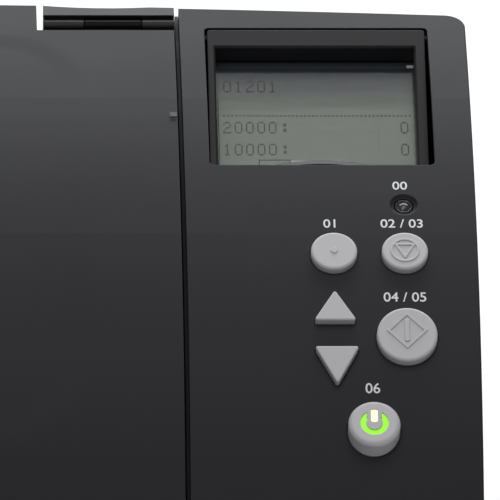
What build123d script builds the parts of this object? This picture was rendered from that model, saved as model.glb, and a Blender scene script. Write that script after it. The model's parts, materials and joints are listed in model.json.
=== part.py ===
from build123d import *

import os
from math import cos, degrees, pi, radians, sin, sqrt, tan

# A wide document scanner: hopper low at the front, delivery tray above it, arched cover hinged at the rear.
# X is to the right, Y to the rear, Z up. The origin is on the floor, at the middle of the outer box.

# Overall size in millimetres
WIDTH = 460.0
DEPTH = 432.0
HEIGHT = 310.0
FOOT_HEIGHT = 8.0
REAR_Y = DEPTH / 2
FRONT_Y = -DEPTH / 2
SIDE_X = WIDTH / 2
SKIN = 2.5
SEAM = 0.4
REAR_BOW_RADIUS = 4000.0
PLAN_CORNER = 6.5
RIM = 0.6
GROOVE_LEDGE = 1.1
GROOVE_DEPTH = 4.2

# The arch of the top, as tangent arcs from the rear edge forward, and the slopes in degrees between them
ARCH_RADII = (480.0, 310.0, 200.0, 150.0)
ARCH_SLOPES = (0.0, 6.0, 17.0, 43.0, 90.0)

# Division of the top from left to right
COVER_LEFT = -174.9
COVER_RIGHT = 139.6
COVER_GAP = 1.6
PANEL_LEFT = COVER_RIGHT + COVER_GAP
STRIP_RIGHT = COVER_LEFT - COVER_GAP
COVER_MIDDLE = (COVER_LEFT + COVER_RIGHT) / 2
COVER_END_SLOPE = 66.0
SKIRT = 12.0
DECK_TOP = 46.0
DECK_CORNER = 22.0

# Inner frames, one each side of the paper path, and the path's width
FRAME_PLATE = 1.6
FRAME_LEFT = -181.0
FRAME_RIGHT = 145.0
PATH_WIDTH = 297.6
PATH_LEFT = COVER_MIDDLE - PATH_WIDTH / 2
FLOOR_TOP = 10.5

# Paper path: a level lower leg, a turn round the core at the rear, and a straight upper leg down to the exit
PATH_GAP = 1.5
LOWER_LEG_Z = 110.0
EXIT_Y = 10.0
EXIT_Z = 190.0
TURN_RADIUS = 65.0
TURN_Y = 128.4
UPPER_LEG_TILT = 25.8
NIP_GAP = 0.15
SHAFT = 8.0
BUSH = 12.0
RUNNING = 0.05
SHEET = 1.2

# The cover's hinge: an axis just under the rear edge, with a knuckle between two fixed ones each side
HINGE_Y = 207.4
HINGE_Z = 306.8
HINGE_RADIUS = 2.3
HINGE_PIN = 2.6
BLOCK_LEFT = 99.2
BLOCK_RIGHT = 139.8
KNUCKLE_LEFT = 112.0
KNUCKLE_RIGHT = 129.6
NOTCH_LEFT = 97.1
NOTCH_FRONT = 201.0
DECK_SHELF = 296.0

# Operator panel: places are the distance along the arch from the rear edge
CUTOUT_LEFT = 148.9
CUTOUT_RIGHT = 218.1
CUTOUT_REAR = 13.8
CUTOUT_FRONT = 81.3
DISPLAY_TILT = 20.0
DISPLAY_WIDTH = 67.3
DISPLAY_LENGTH = 64.0
DISPLAY_DEPTH = 16.0
BUTTON_FLANGE = 1.2
BUTTON_PLAY = 0.35
BUTTON_TRAVEL = 1.0
BOARD_INSET = 12.5

# Hopper table and delivery tray
TABLE_LEFT = -172.0
TABLE_RIGHT = 137.0
TABLE_FRONT = -210.0
TABLE_REAR = -24.0
TABLE_TOP = 60.0
TABLE_BOTTOM = 47.0
ROD_Y = -32.0
TRAY_PIVOT_Y = -27.0
TRAY_PIVOT_Z = 150.0
TRAY_TILT = 8.0
TRAY_LENGTH = 178.0
TRAY_LEFT = -168.0
TRAY_RIGHT = 133.0

os.makedirs("parts", exist_ok=True)


def write(builder, name):
    """Label one finished sub-part and write it."""
    builder.part.label = name
    export_step(builder.part, f"parts/{name}.step")


def arch_arcs():
    """Centre, radius and slopes of each arc of the top, from the rear edge forward."""
    arcs = []
    centre_y, centre_z = REAR_Y, HEIGHT - ARCH_RADII[0]
    for index, radius in enumerate(ARCH_RADII):
        first, last = ARCH_SLOPES[index], ARCH_SLOPES[index + 1]
        if index:
            step = ARCH_RADII[index - 1] - radius
            centre_y -= step * sin(radians(first))
            centre_z += step * cos(radians(first))
        arcs.append((centre_y, centre_z, radius, first, last))
    return arcs


ARCS = arch_arcs()


def arch_point(slope, inset=0.0):
    """The place in Y and Z where the top slopes down by so many degrees, inset below the surface."""
    for centre_y, centre_z, radius, _, last in ARCS:
        if slope <= last:
            break
    reach = radius - inset
    return (centre_y - reach * sin(radians(slope)), centre_z + reach * cos(radians(slope)))


ARCH_FRONT_Y, ARCH_FRONT_Z = arch_point(ARCH_SLOPES[-1])


def slope_at(length):
    """The slope of the top at a distance along it from the rear edge."""
    for _, _, radius, first, last in ARCS:
        arc_length = radius * radians(last - first)
        if length <= arc_length:
            break
        length -= arc_length
    return first + degrees(length / radius)


def arch_plane(x, length, inset=0.0):
    """A plane lying on the top, its Y pointing to the rear along the surface."""
    slope = slope_at(length)
    y, z = arch_point(slope, inset)
    normal = (0, -sin(radians(slope)), cos(radians(slope)))
    return Plane(origin=(x, y, z), x_dir=(1, 0, 0), z_dir=normal)


def arch_line(first, last, inset, forward=True):
    """Draw the arcs of the top between two slopes."""
    spans = [(max(a, first), min(b, last)) for _, _, _, a, b in ARCS]
    spans = [span for span in spans if span[0] < span[1]]
    for start, end in spans if forward else reversed(spans):
        middle = (start + end) / 2
        centre_y, centre_z, radius = next(
            (y, z, r) for y, z, r, a, b in ARCS if a <= middle <= b
        )
        reach = radius - inset
        points = [
            (centre_y - reach * sin(radians(slope)), centre_z + reach * cos(radians(slope)))
            for slope in (start, middle, end)
        ]
        ThreePointArc(*(points if forward else points[::-1]))


def arch_slab(left, right, first, last, top, bottom, foot=None, mode=Mode.ADD):
    """A slab that follows the top between two insets, and runs down to a foot where one is given."""
    with BuildSketch(Plane.YZ.offset(left), mode=Mode.PRIVATE) as profile:
        with BuildLine():
            arch_line(first, last, top)
            start, end = arch_point(last, top), arch_point(last, bottom)
            if foot is None:
                Line(start, end)
            else:
                Polyline(start, (start[0], foot), (end[0], foot), end)
            arch_line(first, last, bottom, forward=False)
            Line(arch_point(first, bottom), arch_point(first, top))
        make_face()
    extrude(profile.sketch, amount=right - left, mode=mode)


def rear_bow(x):
    """How far back the gently bowed rear edge stands at x."""
    return REAR_Y - REAR_BOW_RADIUS + sqrt(REAR_BOW_RADIUS**2 - x**2)


def plan_face(inset=0.0, front=ARCH_FRONT_Y, front_corner=0.0):
    """The plan of the body: straight sides, bowed rear and rounded rear corners."""
    half = SIDE_X - inset
    rear = rear_bow(half) - inset
    with BuildSketch(mode=Mode.PRIVATE) as plan:
        with BuildLine():
            Polyline((-half, rear), (-half, front), (half, front), (half, rear))
            ThreePointArc((half, rear), (0, REAR_Y - inset), (-half, rear))
        make_face()
        fillet(plan.vertices().group_by(Axis.Y)[-1], PLAN_CORNER - inset)
        if front_corner:
            fillet(plan.vertices().group_by(Axis.Y)[0], front_corner)
    return plan.sketch


def block(x_range, y_range, z_range, mode=Mode.ADD):
    """A box between limits."""
    size = [high - low for low, high in (x_range, y_range, z_range)]
    middle = tuple((high + low) / 2 for low, high in (x_range, y_range, z_range))
    with Locations(middle):
        Box(*size, mode=mode)


def rod(x_from, x_to, y, z, radius, mode=Mode.ADD):
    """A round bar along X."""
    with Locations(Location(((x_from + x_to) / 2, y, z), (0, 90, 0))):
        Cylinder(radius, x_to - x_from, mode=mode)


def leg_point(along, above):
    """A place on the upper leg of the path, measured up from the exit and square to the sheet."""
    tilt = radians(UPPER_LEG_TILT)
    return (
        EXIT_Y + along * cos(tilt) - above * sin(tilt),
        EXIT_Z + along * sin(tilt) + above * cos(tilt),
    )


def leg_plane(above):
    """A plane parallel to the upper leg, its Y pointing up the leg from the exit."""
    tilt = radians(UPPER_LEG_TILT)
    y, z = leg_point(0, above)
    return Plane(
        origin=(COVER_MIDDLE, y, z), x_dir=(1, 0, 0), z_dir=(0, -sin(tilt), cos(tilt))
    )


# Rollers: name, Y and Z of the axis, radius. Those inside the turn are driven, and turn the same way.
TURN_Z = LOWER_LEG_Z + TURN_RADIUS
FEED_RADIUS = 14.0
BRAKE_RADIUS = 11.0
PICK_RADIUS = 12.0
TURN_ROLLER_RADIUS = 14.0
TRANSPORT_RADIUS = 10.0
EXIT_RADIUS = 9.0
PINCH_RADIUS = 7.0
TRANSPORT_ALONG = 88.0
EXIT_ALONG = 8.0
FEED_Y = 30.0
PICK_Y = 0.0
FEED_AXIS = (FEED_Y, LOWER_LEG_Z + NIP_GAP + FEED_RADIUS)
BRAKE_AXIS = (FEED_Y, LOWER_LEG_Z - NIP_GAP - BRAKE_RADIUS)
PICK_AXIS = (PICK_Y, LOWER_LEG_Z + PICK_RADIUS + 0.5)
TURN_AXIS = (TURN_Y + TURN_RADIUS - NIP_GAP - TURN_ROLLER_RADIUS, TURN_Z)
TRANSPORT_AXIS = leg_point(TRANSPORT_ALONG, -NIP_GAP - TRANSPORT_RADIUS)
EXIT_AXIS = leg_point(EXIT_ALONG, -NIP_GAP - EXIT_RADIUS)
TRANSPORT_PINCH_AXIS = leg_point(TRANSPORT_ALONG, NIP_GAP + PINCH_RADIUS)
EXIT_PINCH_AXIS = leg_point(EXIT_ALONG, NIP_GAP + PINCH_RADIUS)
FRAME_ROLLERS = {
    "pick_roller": (PICK_AXIS, PICK_RADIUS),
    "feed_roller": (FEED_AXIS, FEED_RADIUS),
    "brake_roller": (BRAKE_AXIS, BRAKE_RADIUS),
    "turn_roller": (TURN_AXIS, TURN_ROLLER_RADIUS),
    "transport_roller": (TRANSPORT_AXIS, TRANSPORT_RADIUS),
    "exit_roller": (EXIT_AXIS, EXIT_RADIUS),
}
MOTOR_AXIS = (80.0, 55.0)

MOTOR_RADIUS = 21.0
PULLEY_SHARE = 0.8
TYRE_WIDTH = 30.0
WIDE_TYRES = (-125.0, -75.0, 75.0, 125.0)
NARROW_TYRES = (-32.0, 32.0)
BELT = 1.2
BELT_GAP = 0.3
TRANSPORT_PULLEYS = (-190.5, -183.5)
MOTOR_PULLEYS = (-198.5, -191.5)


def prism(left, right, points, mode=Mode.ADD):
    """A bar along X with a polygon for its section in Y and Z."""
    with BuildSketch(Plane.YZ.offset(left), mode=Mode.PRIVATE) as section:
        with BuildLine():
            Polyline(*points, close=True)
        make_face()
    extrude(section.sketch, amount=right - left, mode=mode)


def both_sides(left, right):
    """A span along X and its mirror about the cover's middle."""
    turned = 2 * COVER_MIDDLE
    return ((left, right), (turned - right, turned - left))


def hood_cavity(left, right, first=0.0, last=90.0):
    """The space inside one strip of the top: under its skin and within its skirts."""
    with BuildPart(mode=Mode.PRIVATE) as cavity:
        arch_slab(left + SKIN, right - SKIN, first, last, SKIN, 60.0, 0.0 if last == 90.0 else None)
        add(extrude(plan_face(SKIN), amount=HEIGHT, mode=Mode.PRIVATE), mode=Mode.INTERSECT)
    return cavity.part


def on_rim(edge):
    """Whether an edge runs along the outer border of the top."""
    point = edge @ 0.5
    outside = abs(point.X) > SIDE_X - 0.01 or point.Y > rear_bow(point.X) - 0.05
    rounded = abs(point.X) > SIDE_X - PLAN_CORNER and point.Y > rear_bow(SIDE_X) - PLAN_CORNER
    slope = next(
        (s for s in (0.5 * n for n in range(181)) if arch_point(s)[0] <= point.Y + 1e-6), 90.0
    )
    low = arch_point(slope)[1] - 0.6
    return (outside or rounded) and point.Z > low and point.Z > ARCH_FRONT_Z - 100.0


# The plan of the body, full height
with BuildPart() as full_plan:
    with BuildSketch():
        add(plan_face())
    extrude(amount=HEIGHT)

# Everything more than the skirts' depth below the top, used to cut the walls to the arch
with BuildPart() as under_top:
    with BuildSketch(Plane.YZ.offset(-SIDE_X - 1)):
        with BuildLine():
            arch_line(0, 90, SKIRT + SEAM)
            low = arch_point(90, SKIRT + SEAM)
            high = arch_point(0, SKIRT + SEAM)
            Polyline(low, (low[0], 0), (REAR_Y + 20, 0), (REAR_Y + 20, high[1]), high)
        make_face()
    extrude(amount=WIDTH + 2)

# Base tray with its raised rim, under everything
foot_x, foot_y = SIDE_X - 36.0, REAR_Y - 36.0
with BuildPart() as base_tray:
    with BuildSketch(Plane.XY.offset(FOOT_HEIGHT)):
        add(plan_face(SKIN + SEAM, FRONT_Y + SKIN + SEAM, DECK_CORNER - SKIN))
    extrude(amount=SKIN)
    with BuildSketch(Plane.XY.offset(FLOOR_TOP)):
        add(plan_face(SKIN + SEAM, FRONT_Y + SKIN + SEAM, DECK_CORNER - SKIN))
        add(plan_face(2 * SKIN, FRONT_Y + 2 * SKIN, DECK_CORNER - SKIN), mode=Mode.SUBTRACT)
    extrude(amount=10.0)
    with Locations((0, 0, FLOOR_TOP)):
        with GridLocations(2 * foot_x, 2 * foot_y, 2, 2):
            Hole(2.4, depth=SKIN)
write(base_tray, "base_tray")

# Four rubber feet, each with the peg that holds it in the tray
with BuildPart() as feet:
    with BuildSketch():
        with GridLocations(2 * foot_x, 2 * foot_y, 2, 2):
            Circle(14.0)
    extrude(amount=FOOT_HEIGHT, taper=4.0)
    with BuildSketch(Plane.XY.offset(FOOT_HEIGHT)):
        with GridLocations(2 * foot_x, 2 * foot_y, 2, 2):
            Circle(2.4)
    extrude(amount=SKIN)
write(feet, "feet")

# Low front deck under the hopper table
DECK_REAR = -6.0
with BuildPart() as front_deck:
    with BuildSketch(Plane.XY.offset(FOOT_HEIGHT)) as deck_plan:
        with Locations((0, (FRONT_Y + DECK_REAR) / 2)):
            Rectangle(WIDTH, DECK_REAR - FRONT_Y)
        fillet(deck_plan.vertices().group_by(Axis.Y)[0], DECK_CORNER)
    extrude(amount=DECK_TOP - FOOT_HEIGHT)
    top_edges = front_deck.faces().sort_by(Axis.Z)[-1].edges()
    fillet(top_edges.filter_by(lambda edge: (edge @ 0.5).Y < DECK_REAR - 1), 4.0)
    open_faces = [front_deck.faces().sort_by(Axis.Z)[0], front_deck.faces().sort_by(Axis.Y)[-1]]
    offset(amount=-SKIN, openings=open_faces)
    with Locations((TABLE_LEFT + 20.0, ROD_Y, DECK_TOP), (TABLE_RIGHT - 20.0, ROD_Y, DECK_TOP)):
        Hole(3.0, depth=SKIN)
write(front_deck, "front_deck")

# Operator panel: the right strip of the top, with the display cut-out, button holes and lamp dish
ROUND_BUTTONS = {
    "menu_button": 7.1,
    "stop_button": 7.1,
    "scan_button": 9.25,
    "power_button": 7.95,
}
TRIANGLE_BUTTONS = {
    "up_button": ((-6.55, -4.4), (6.55, -4.4), (0.0, 6.3)),
    "down_button": ((-6.85, 6.3), (0.0, -6.4), (6.85, 6.3)),
}
# Place across and along the top, how far the cap stands out, and how much less it slopes than the top there
BUTTONS = {
    "menu_button": (186.0, 118.0, 2.2, 0.0),
    "stop_button": (207.6, 118.0, 2.2, 0.0),
    "scan_button": (207.5, 148.3, 2.7, 0.0),
    "power_button": (196.9, 179.0, 4.8, 11.8),
    "up_button": (185.8, 139.0, 2.6, 0.0),
    "down_button": (186.1, 158.5, 2.6, 0.0),
}
TRIANGLE_CORNER = 0.6
HOLE_GAP = 0.3
LAMP = (207.9, 98.1)
LAMP_RADIUS = 2.8


def button_plane(name, above):
    """A plane square to a button's press, so far above the top."""
    x, along, _, lean = BUTTONS[name]
    slope = radians(slope_at(along) - lean)
    surface = arch_plane(x, along)
    return Plane(origin=surface.origin, x_dir=(1, 0, 0), z_dir=(0, -sin(slope), cos(slope))).offset(above)


def button_face(name, place, grow=0.0):
    """The outline of one button's cap on a plane, grown all round."""
    with BuildSketch(place, mode=Mode.PRIVATE) as face:
        if name in ROUND_BUTTONS:
            Circle(ROUND_BUTTONS[name] + grow)
        else:
            with BuildLine():
                Polyline(*TRIANGLE_BUTTONS[name], close=True)
            make_face()
            fillet(face.vertices(), TRIANGLE_CORNER)
            if grow:
                offset(amount=grow)
    return face.sketch


panel_cavity = hood_cavity(PANEL_LEFT, SIDE_X)
DISPLAY_X = (CUTOUT_LEFT + CUTOUT_RIGHT) / 2
TRUNNION = 1.2
EAR = 2.2
display_plane = Plane(
    origin=(DISPLAY_X, arch_point(slope_at(CUTOUT_REAR))[0] - 1.0, 309.6),
    x_dir=(1, 0, 0),
    z_dir=(0, -sin(radians(DISPLAY_TILT)), cos(radians(DISPLAY_TILT))),
)
display_axis = display_plane.from_local_coords((0, -1.6, -2.4))
with BuildPart() as operator_panel:
    arch_slab(PANEL_LEFT, SIDE_X, 0, 90, 0, SKIRT, DECK_TOP + SEAM)
    add(full_plan.part, mode=Mode.INTERSECT)
    fillet(operator_panel.edges().filter_by(on_rim), RIM)
    add(panel_cavity, mode=Mode.SUBTRACT)
    # Ledge along the groove beside the cover
    arch_slab(PANEL_LEFT - GROOVE_LEDGE, PANEL_LEFT, 0.1, COVER_END_SLOPE, GROOVE_DEPTH, SKIRT)
    # Ears that hold the display's trunnions
    for ear_left in (CUTOUT_LEFT - EAR, CUTOUT_RIGHT):
        arch_slab(ear_left, ear_left + EAR, 1.3, 2.7, SKIN - 0.5, 9.0)
    # Posts that carry the button board
    for post_x in (155.5, 222.5):
        for post_along in (106.0, 188.0):
            with Locations(arch_plane(post_x, post_along, BOARD_INSET)):
                Cylinder(2.4, BOARD_INSET - 1.0, align=(Align.CENTER, Align.CENTER, Align.MIN))
    rear_cut, front_cut = arch_point(slope_at(CUTOUT_REAR)), arch_point(slope_at(CUTOUT_FRONT))
    with BuildSketch(Plane.XY.offset(HEIGHT + 5)):
        with Locations((DISPLAY_X, (rear_cut[0] + front_cut[0]) / 2)):
            RectangleRounded(CUTOUT_RIGHT - CUTOUT_LEFT, rear_cut[0] - front_cut[0], 1.6)
    extrude(amount=-30.0, mode=Mode.SUBTRACT)
    rod(
        CUTOUT_LEFT - EAR, CUTOUT_RIGHT + EAR, display_axis.Y, display_axis.Z, TRUNNION + RUNNING,
        mode=Mode.SUBTRACT,
    )
    for name in BUTTONS:
        hole = button_face(name, button_plane(name, -8.0), HOLE_GAP)
        extrude(hole, amount=16.0, mode=Mode.SUBTRACT)
    with Locations(arch_plane(*LAMP)):
        Cylinder(LAMP_RADIUS + HOLE_GAP, 4 * SKIN, mode=Mode.SUBTRACT)
    with Locations(arch_plane(*LAMP, inset=0.8)):
        Cone(3.4, 4.6, 1.0, align=(Align.CENTER, Align.CENTER, Align.MIN), mode=Mode.SUBTRACT)
write(operator_panel, "operator_panel")

# Left strip of the top
left_cavity = hood_cavity(-SIDE_X, STRIP_RIGHT)
with BuildPart() as left_strip:
    arch_slab(-SIDE_X, STRIP_RIGHT, 0, 90, 0, SKIRT, DECK_TOP + SEAM)
    add(full_plan.part, mode=Mode.INTERSECT)
    fillet(left_strip.edges().filter_by(on_rim), RIM)
    add(left_cavity, mode=Mode.SUBTRACT)
    arch_slab(STRIP_RIGHT, STRIP_RIGHT + GROOVE_LEDGE, 0.1, COVER_END_SLOPE, GROOVE_DEPTH, SKIRT)
write(left_strip, "left_strip")

# Side walls, with cooling slots in each
REAR_SEAM = 200.0
SLOT_ROWS = 9
for name, sign in (("right_cover", 1), ("left_cover", -1)):
    with BuildPart() as side_cover:
        with BuildSketch(Plane.XY.offset(FOOT_HEIGHT)):
            add(plan_face(0, DECK_REAR + SEAM))
            add(plan_face(SKIN, DECK_REAR - 10.0), mode=Mode.SUBTRACT)
        extrude(amount=HEIGHT)
        add(under_top.part, mode=Mode.INTERSECT)
        block((0, sign * (SIDE_X + 1)) if sign > 0 else (sign * (SIDE_X + 1), 0),
              (DECK_REAR, REAR_SEAM), (0, HEIGHT), mode=Mode.INTERSECT)
        with BuildSketch(Plane.YZ.offset(sign * (SIDE_X - 2 * SKIN))):
            with Locations((120.0, 64.0)):
                with GridLocations(0, 7.0, 1, SLOT_ROWS):
                    SlotOverall(76.0, 3.0)
        extrude(amount=sign * 4 * SKIN, mode=Mode.SUBTRACT)
    write(side_cover, name)

# Screws of the rear wall
with BuildPart() as case_screws:
    for screw_x, screw_z in ((-205, 30), (-205, 150), (-205, 270), (205, 30), (205, 150), (205, 270)):
        with Locations(Location((screw_x, rear_bow(screw_x) - SKIN - 4, screw_z), (-90, 0, 0))):
            Cylinder(1.5, 4.0 + SKIN + 0.6, align=(Align.CENTER, Align.CENTER, Align.MIN))
        with Locations(Location((screw_x, rear_bow(screw_x) - 0.7, screw_z), (-90, 0, 0))):
            Cone(3.4, 2.4, 1.6, align=(Align.CENTER, Align.CENTER, Align.MIN))
write(case_screws, "case_screws")

# Rear wall with its shelf under the cover's tongue, cooling slots and socket opening
SOCKETS_X = (40.0, 150.0)
SOCKETS_Z = (26.0, 62.0)
with BuildPart() as rear_cover:
    with BuildSketch(Plane.XY.offset(FOOT_HEIGHT)):
        add(plan_face(0, REAR_SEAM - 20.0))
        add(plan_face(SKIN, REAR_SEAM - 30.0), mode=Mode.SUBTRACT)
    extrude(amount=HEIGHT)
    add(under_top.part, mode=Mode.INTERSECT)
    block((-SIDE_X, SIDE_X), (REAR_SEAM + SEAM, DEPTH), (0, HEIGHT), mode=Mode.INTERSECT)
    middle_x = (STRIP_RIGHT - SKIN - 0.1, PANEL_LEFT + SKIN + 0.1)
    block(middle_x, (0, DEPTH), (DECK_SHELF, HEIGHT), mode=Mode.SUBTRACT)
    with BuildSketch(Plane.XY.offset(DECK_SHELF - SKIN)):
        add(plan_face(0, 190.0))
        with Locations(((middle_x[0] + middle_x[1]) / 2, 200.0)):
            Rectangle(middle_x[1] - middle_x[0], 100.0, mode=Mode.INTERSECT)
    extrude(amount=SKIN)
    with BuildSketch(Plane.XZ.offset(-REAR_Y - 5)):
        with Locations((-60.0, 190.0), (-60.0, 120.0)):
            with GridLocations(9.0, 0, 22, 1):
                SlotOverall(46.0, 3.6, rotation=90)
    extrude(amount=20.0, mode=Mode.SUBTRACT)
    block(SOCKETS_X, (190.0, DEPTH), SOCKETS_Z, mode=Mode.SUBTRACT)
    add(case_screws.part, mode=Mode.SUBTRACT)
write(rear_cover, "rear_cover")

# Steel frames each side of the paper path, bored for the roller bushes, each with its latch pin
LATCH_PIN = (8.0, 188.0)
FRAME_REAR = 203.0
for name, left in (("inner_frame_left", FRAME_LEFT), ("inner_frame_right", FRAME_RIGHT)):
    with BuildPart() as inner_frame:
        with BuildSketch(Plane.YZ.offset(left)):
            with BuildLine():
                arch_line(1.8, 90, 4.0)
                low, high = arch_point(90, 4.0), arch_point(1.8, 4.0)
                Polyline(low, (low[0], FLOOR_TOP), (high[0], FLOOR_TOP), high)
            make_face()
            with Locations((150.0, 55.0), (60.0, 165.0)):
                Circle(24.0, mode=Mode.SUBTRACT)
            with Locations((178.0, 120.0)):
                Circle(16.0, mode=Mode.SUBTRACT)
            for axis, _ in FRAME_ROLLERS.values():
                with Locations(axis):
                    Circle(BUSH / 2, mode=Mode.SUBTRACT)
            with Locations(MOTOR_AXIS):
                Circle(7.0, mode=Mode.SUBTRACT)
        extrude(amount=FRAME_PLATE)
        block((left, left + FRAME_PLATE), (-20.0, DECK_REAR + 1), (0, DECK_TOP + 1), mode=Mode.SUBTRACT)
        if left < 0:
            rod(left + FRAME_PLATE, left + 10.5, *LATCH_PIN, 2.0)
        else:
            rod(left - 9.5, left, *LATCH_PIN, 2.0)
    write(inner_frame, name)
INSIDE_LEFT = FRAME_LEFT + FRAME_PLATE

# Steel beams that tie the two frames together, rear and front
with BuildPart() as cross_beams:
    for rear, low, deep, high in ((191.0, 281.5, 12.0, 12.0), (-4.0, 16.0, 14.0, 24.0)):
        block((INSIDE_LEFT, FRAME_RIGHT), (rear, rear + deep), (low, low + high))
        block((INSIDE_LEFT, FRAME_RIGHT), (rear, rear + deep - 2), (low + 2, low + high - 2),
              mode=Mode.SUBTRACT)
write(cross_beams, "cross_beams")

# Hinge blocks on the rear shelf, flush with the top, each with two knuckles and a finger dip behind
BLOCK_FACE = 209.7
LIP_FRONT = 209.2
DIP_DEPTH = 0.95
DIP_WIDTH = 33.0
dip_radius = DIP_WIDTH**2 / (8 * DIP_DEPTH)
knuckle_left, knuckle_right = KNUCKLE_LEFT - 0.3, KNUCKLE_RIGHT + 0.3
with BuildPart() as hinge_blocks:
    for left, right in both_sides(BLOCK_LEFT, BLOCK_RIGHT):
        block((left, right), (BLOCK_FACE, REAR_Y), (DECK_SHELF, HEIGHT))
        block((left, right), (LIP_FRONT, BLOCK_FACE), (HEIGHT - 0.7, HEIGHT))
        block((left, right), (HINGE_Y, BLOCK_FACE), (HINGE_Z - 2.2, HINGE_Z + 2.0))
        rod(left, right, HINGE_Y, HINGE_Z, HINGE_RADIUS)
    for left, right in both_sides(knuckle_left, knuckle_right):
        rod(left, right, HINGE_Y, HINGE_Z, HINGE_RADIUS + 0.4, mode=Mode.SUBTRACT)
        block((left, right), (HINGE_Y - 3, BLOCK_FACE), (HINGE_Z - 2.4, HINGE_Z + 2.2),
              mode=Mode.SUBTRACT)
    for left, right in both_sides(BLOCK_LEFT, BLOCK_RIGHT):
        rod(left, right, HINGE_Y, HINGE_Z, HINGE_PIN / 2, mode=Mode.SUBTRACT)
    add(full_plan.part, mode=Mode.INTERSECT)
    dip_x = (BLOCK_LEFT + BLOCK_RIGHT) / 2
    for x in (dip_x, 2 * COVER_MIDDLE - dip_x):
        with Locations((x, rear_bow(dip_x) - DIP_DEPTH + dip_radius, DECK_SHELF + 10)):
            Cylinder(dip_radius, 40, mode=Mode.SUBTRACT)
write(hinge_blocks, "hinge_blocks")

# Hinge pins, tight in the blocks
with BuildPart() as hinge_pins:
    for left, right in both_sides(BLOCK_LEFT, BLOCK_RIGHT):
        rod(left, right, HINGE_Y, HINGE_Z, HINGE_PIN / 2)
write(hinge_pins, "hinge_pins")

# Knuckles of the cover, with the arms that carry them under its skin
with BuildPart() as cover_knuckles:
    for left, right in both_sides(KNUCKLE_LEFT, KNUCKLE_RIGHT):
        arch_slab(left, right, 2.1, 7.0, 2.8, 5.2)
        arm_top, arm_low = arch_point(2.1, 2.8), arch_point(2.1, 5.2)
        arm = (arm_top, arm_low, (HINGE_Y, HINGE_Z - 1.6), (HINGE_Y, HINGE_Z + 0.8))
        prism(left, right, arm)
        rod(left, right, HINGE_Y, HINGE_Z, HINGE_RADIUS)
        rod(left, right, HINGE_Y, HINGE_Z, HINGE_PIN / 2 + RUNNING, mode=Mode.SUBTRACT)
write(cover_knuckles, "cover_knuckles")

# Arched top cover: a thin shell with skirts, and a tongue between the hinges
with BuildPart() as top_cover:
    arch_slab(COVER_LEFT, COVER_RIGHT, 0, COVER_END_SLOPE, 0, SKIRT)
    add(full_plan.part, mode=Mode.INTERSECT)
    arch_slab(COVER_LEFT + SKIN, COVER_RIGHT - SKIN, 0, 64.8, SKIN, 60, mode=Mode.SUBTRACT)
    for notch_left, notch_right in both_sides(NOTCH_LEFT, COVER_RIGHT + 5):
        block((notch_left, notch_right), (NOTCH_FRONT, DEPTH), (DECK_SHELF - 20, HEIGHT + 5),
              mode=Mode.SUBTRACT)
    # Room for the release paddle behind the front lip
    arch_slab(-64.0, 28.7, 60.0, 67.0, SKIN, 2 * SKIRT, mode=Mode.SUBTRACT)
    for slot_left, slot_right in ((COVER_LEFT + SKIN, -169.5), (134.3, COVER_RIGHT - SKIN)):
        arch_slab(slot_left, slot_right, 60.0, 67.0, 4.5, 2 * SKIRT, mode=Mode.SUBTRACT)
    with Locations(arch_plane(138.35, 59.2, 0.5)):
        Box(2.1, 1.6, 1.1, align=(Align.CENTER, Align.CENTER, Align.MIN))
write(top_cover, "top_cover")

# Upper frame: two side plates and two cross plates, the lower of them the upper side of the paper path
SIDE_PLATES = (-169.6, 132.8)
guide_low, guide_high = PATH_GAP, PATH_GAP + SHEET
outer_near, outer_far = TURN_RADIUS + PATH_GAP, TURN_RADIUS + PATH_GAP + SHEET
leg_turn = 90.0 + UPPER_LEG_TILT


def turn_point(angle, radius):
    """A place on the turn, by its angle from the rear and its distance from the turn's middle."""
    return (TURN_Y + radius * cos(radians(angle)), TURN_Z + radius * sin(radians(angle)))


with BuildPart() as upper_frame:
    for left in SIDE_PLATES:
        with BuildSketch(Plane.YZ.offset(left)):
            with BuildLine():
                arch_line(4.0, 62.0, SKIN)
                Polyline(
                    arch_point(62.0, SKIN), leg_point(2, 8.0), leg_point(2, guide_low),
                    turn_point(leg_turn, outer_near), (140.0, 243.5), (186.0, 292.0),
                    arch_point(4.0, SKIN),
                )
            make_face()
            for axis in (TRANSPORT_PINCH_AXIS, EXIT_PINCH_AXIS):
                with Locations(axis):
                    Circle(3.0 + RUNNING, mode=Mode.SUBTRACT)
            with Locations((16.0, 212.0)):
                Circle(3.0 + RUNNING, mode=Mode.SUBTRACT)
            with Locations((105.0, 266.0)):
                Circle(14.0, mode=Mode.SUBTRACT)
        extrude(amount=FRAME_PLATE)
    inner = (SIDE_PLATES[0] + FRAME_PLATE, SIDE_PLATES[1])
    arch_slab(*inner, 2.6, 7.2, 5.2, 5.2 + SHEET)
    with BuildSketch(Plane.YZ.offset(inner[0])):
        with BuildLine():
            Line(leg_point(2, guide_low), turn_point(leg_turn, outer_near))
            ThreePointArc(*(turn_point(a, outer_near) for a in (leg_turn, 98.0, 80.0)))
            Line(turn_point(80.0, outer_near), turn_point(80.0, outer_far))
            ThreePointArc(*(turn_point(a, outer_far) for a in (80.0, 98.0, leg_turn)))
            Line(turn_point(leg_turn, outer_far), leg_point(2, guide_high))
            Line(leg_point(2, guide_high), leg_point(2, guide_low))
        make_face()
    extrude(amount=inner[1] - inner[0])
    for axis in (TRANSPORT_PINCH_AXIS, EXIT_PINCH_AXIS):
        for tyre in WIDE_TYRES:
            x = COVER_MIDDLE + tyre
            rod(x - TYRE_WIDTH / 2 - 2, x + TYRE_WIDTH / 2 + 2, *axis, PINCH_RADIUS + 1, mode=Mode.SUBTRACT)
    with BuildSketch(leg_plane(0)):
        with Locations((0, 62.0)):
            Rectangle(298.0, 25.0)
    extrude(amount=5.0, mode=Mode.SUBTRACT)
write(upper_frame, "upper_frame")

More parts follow.
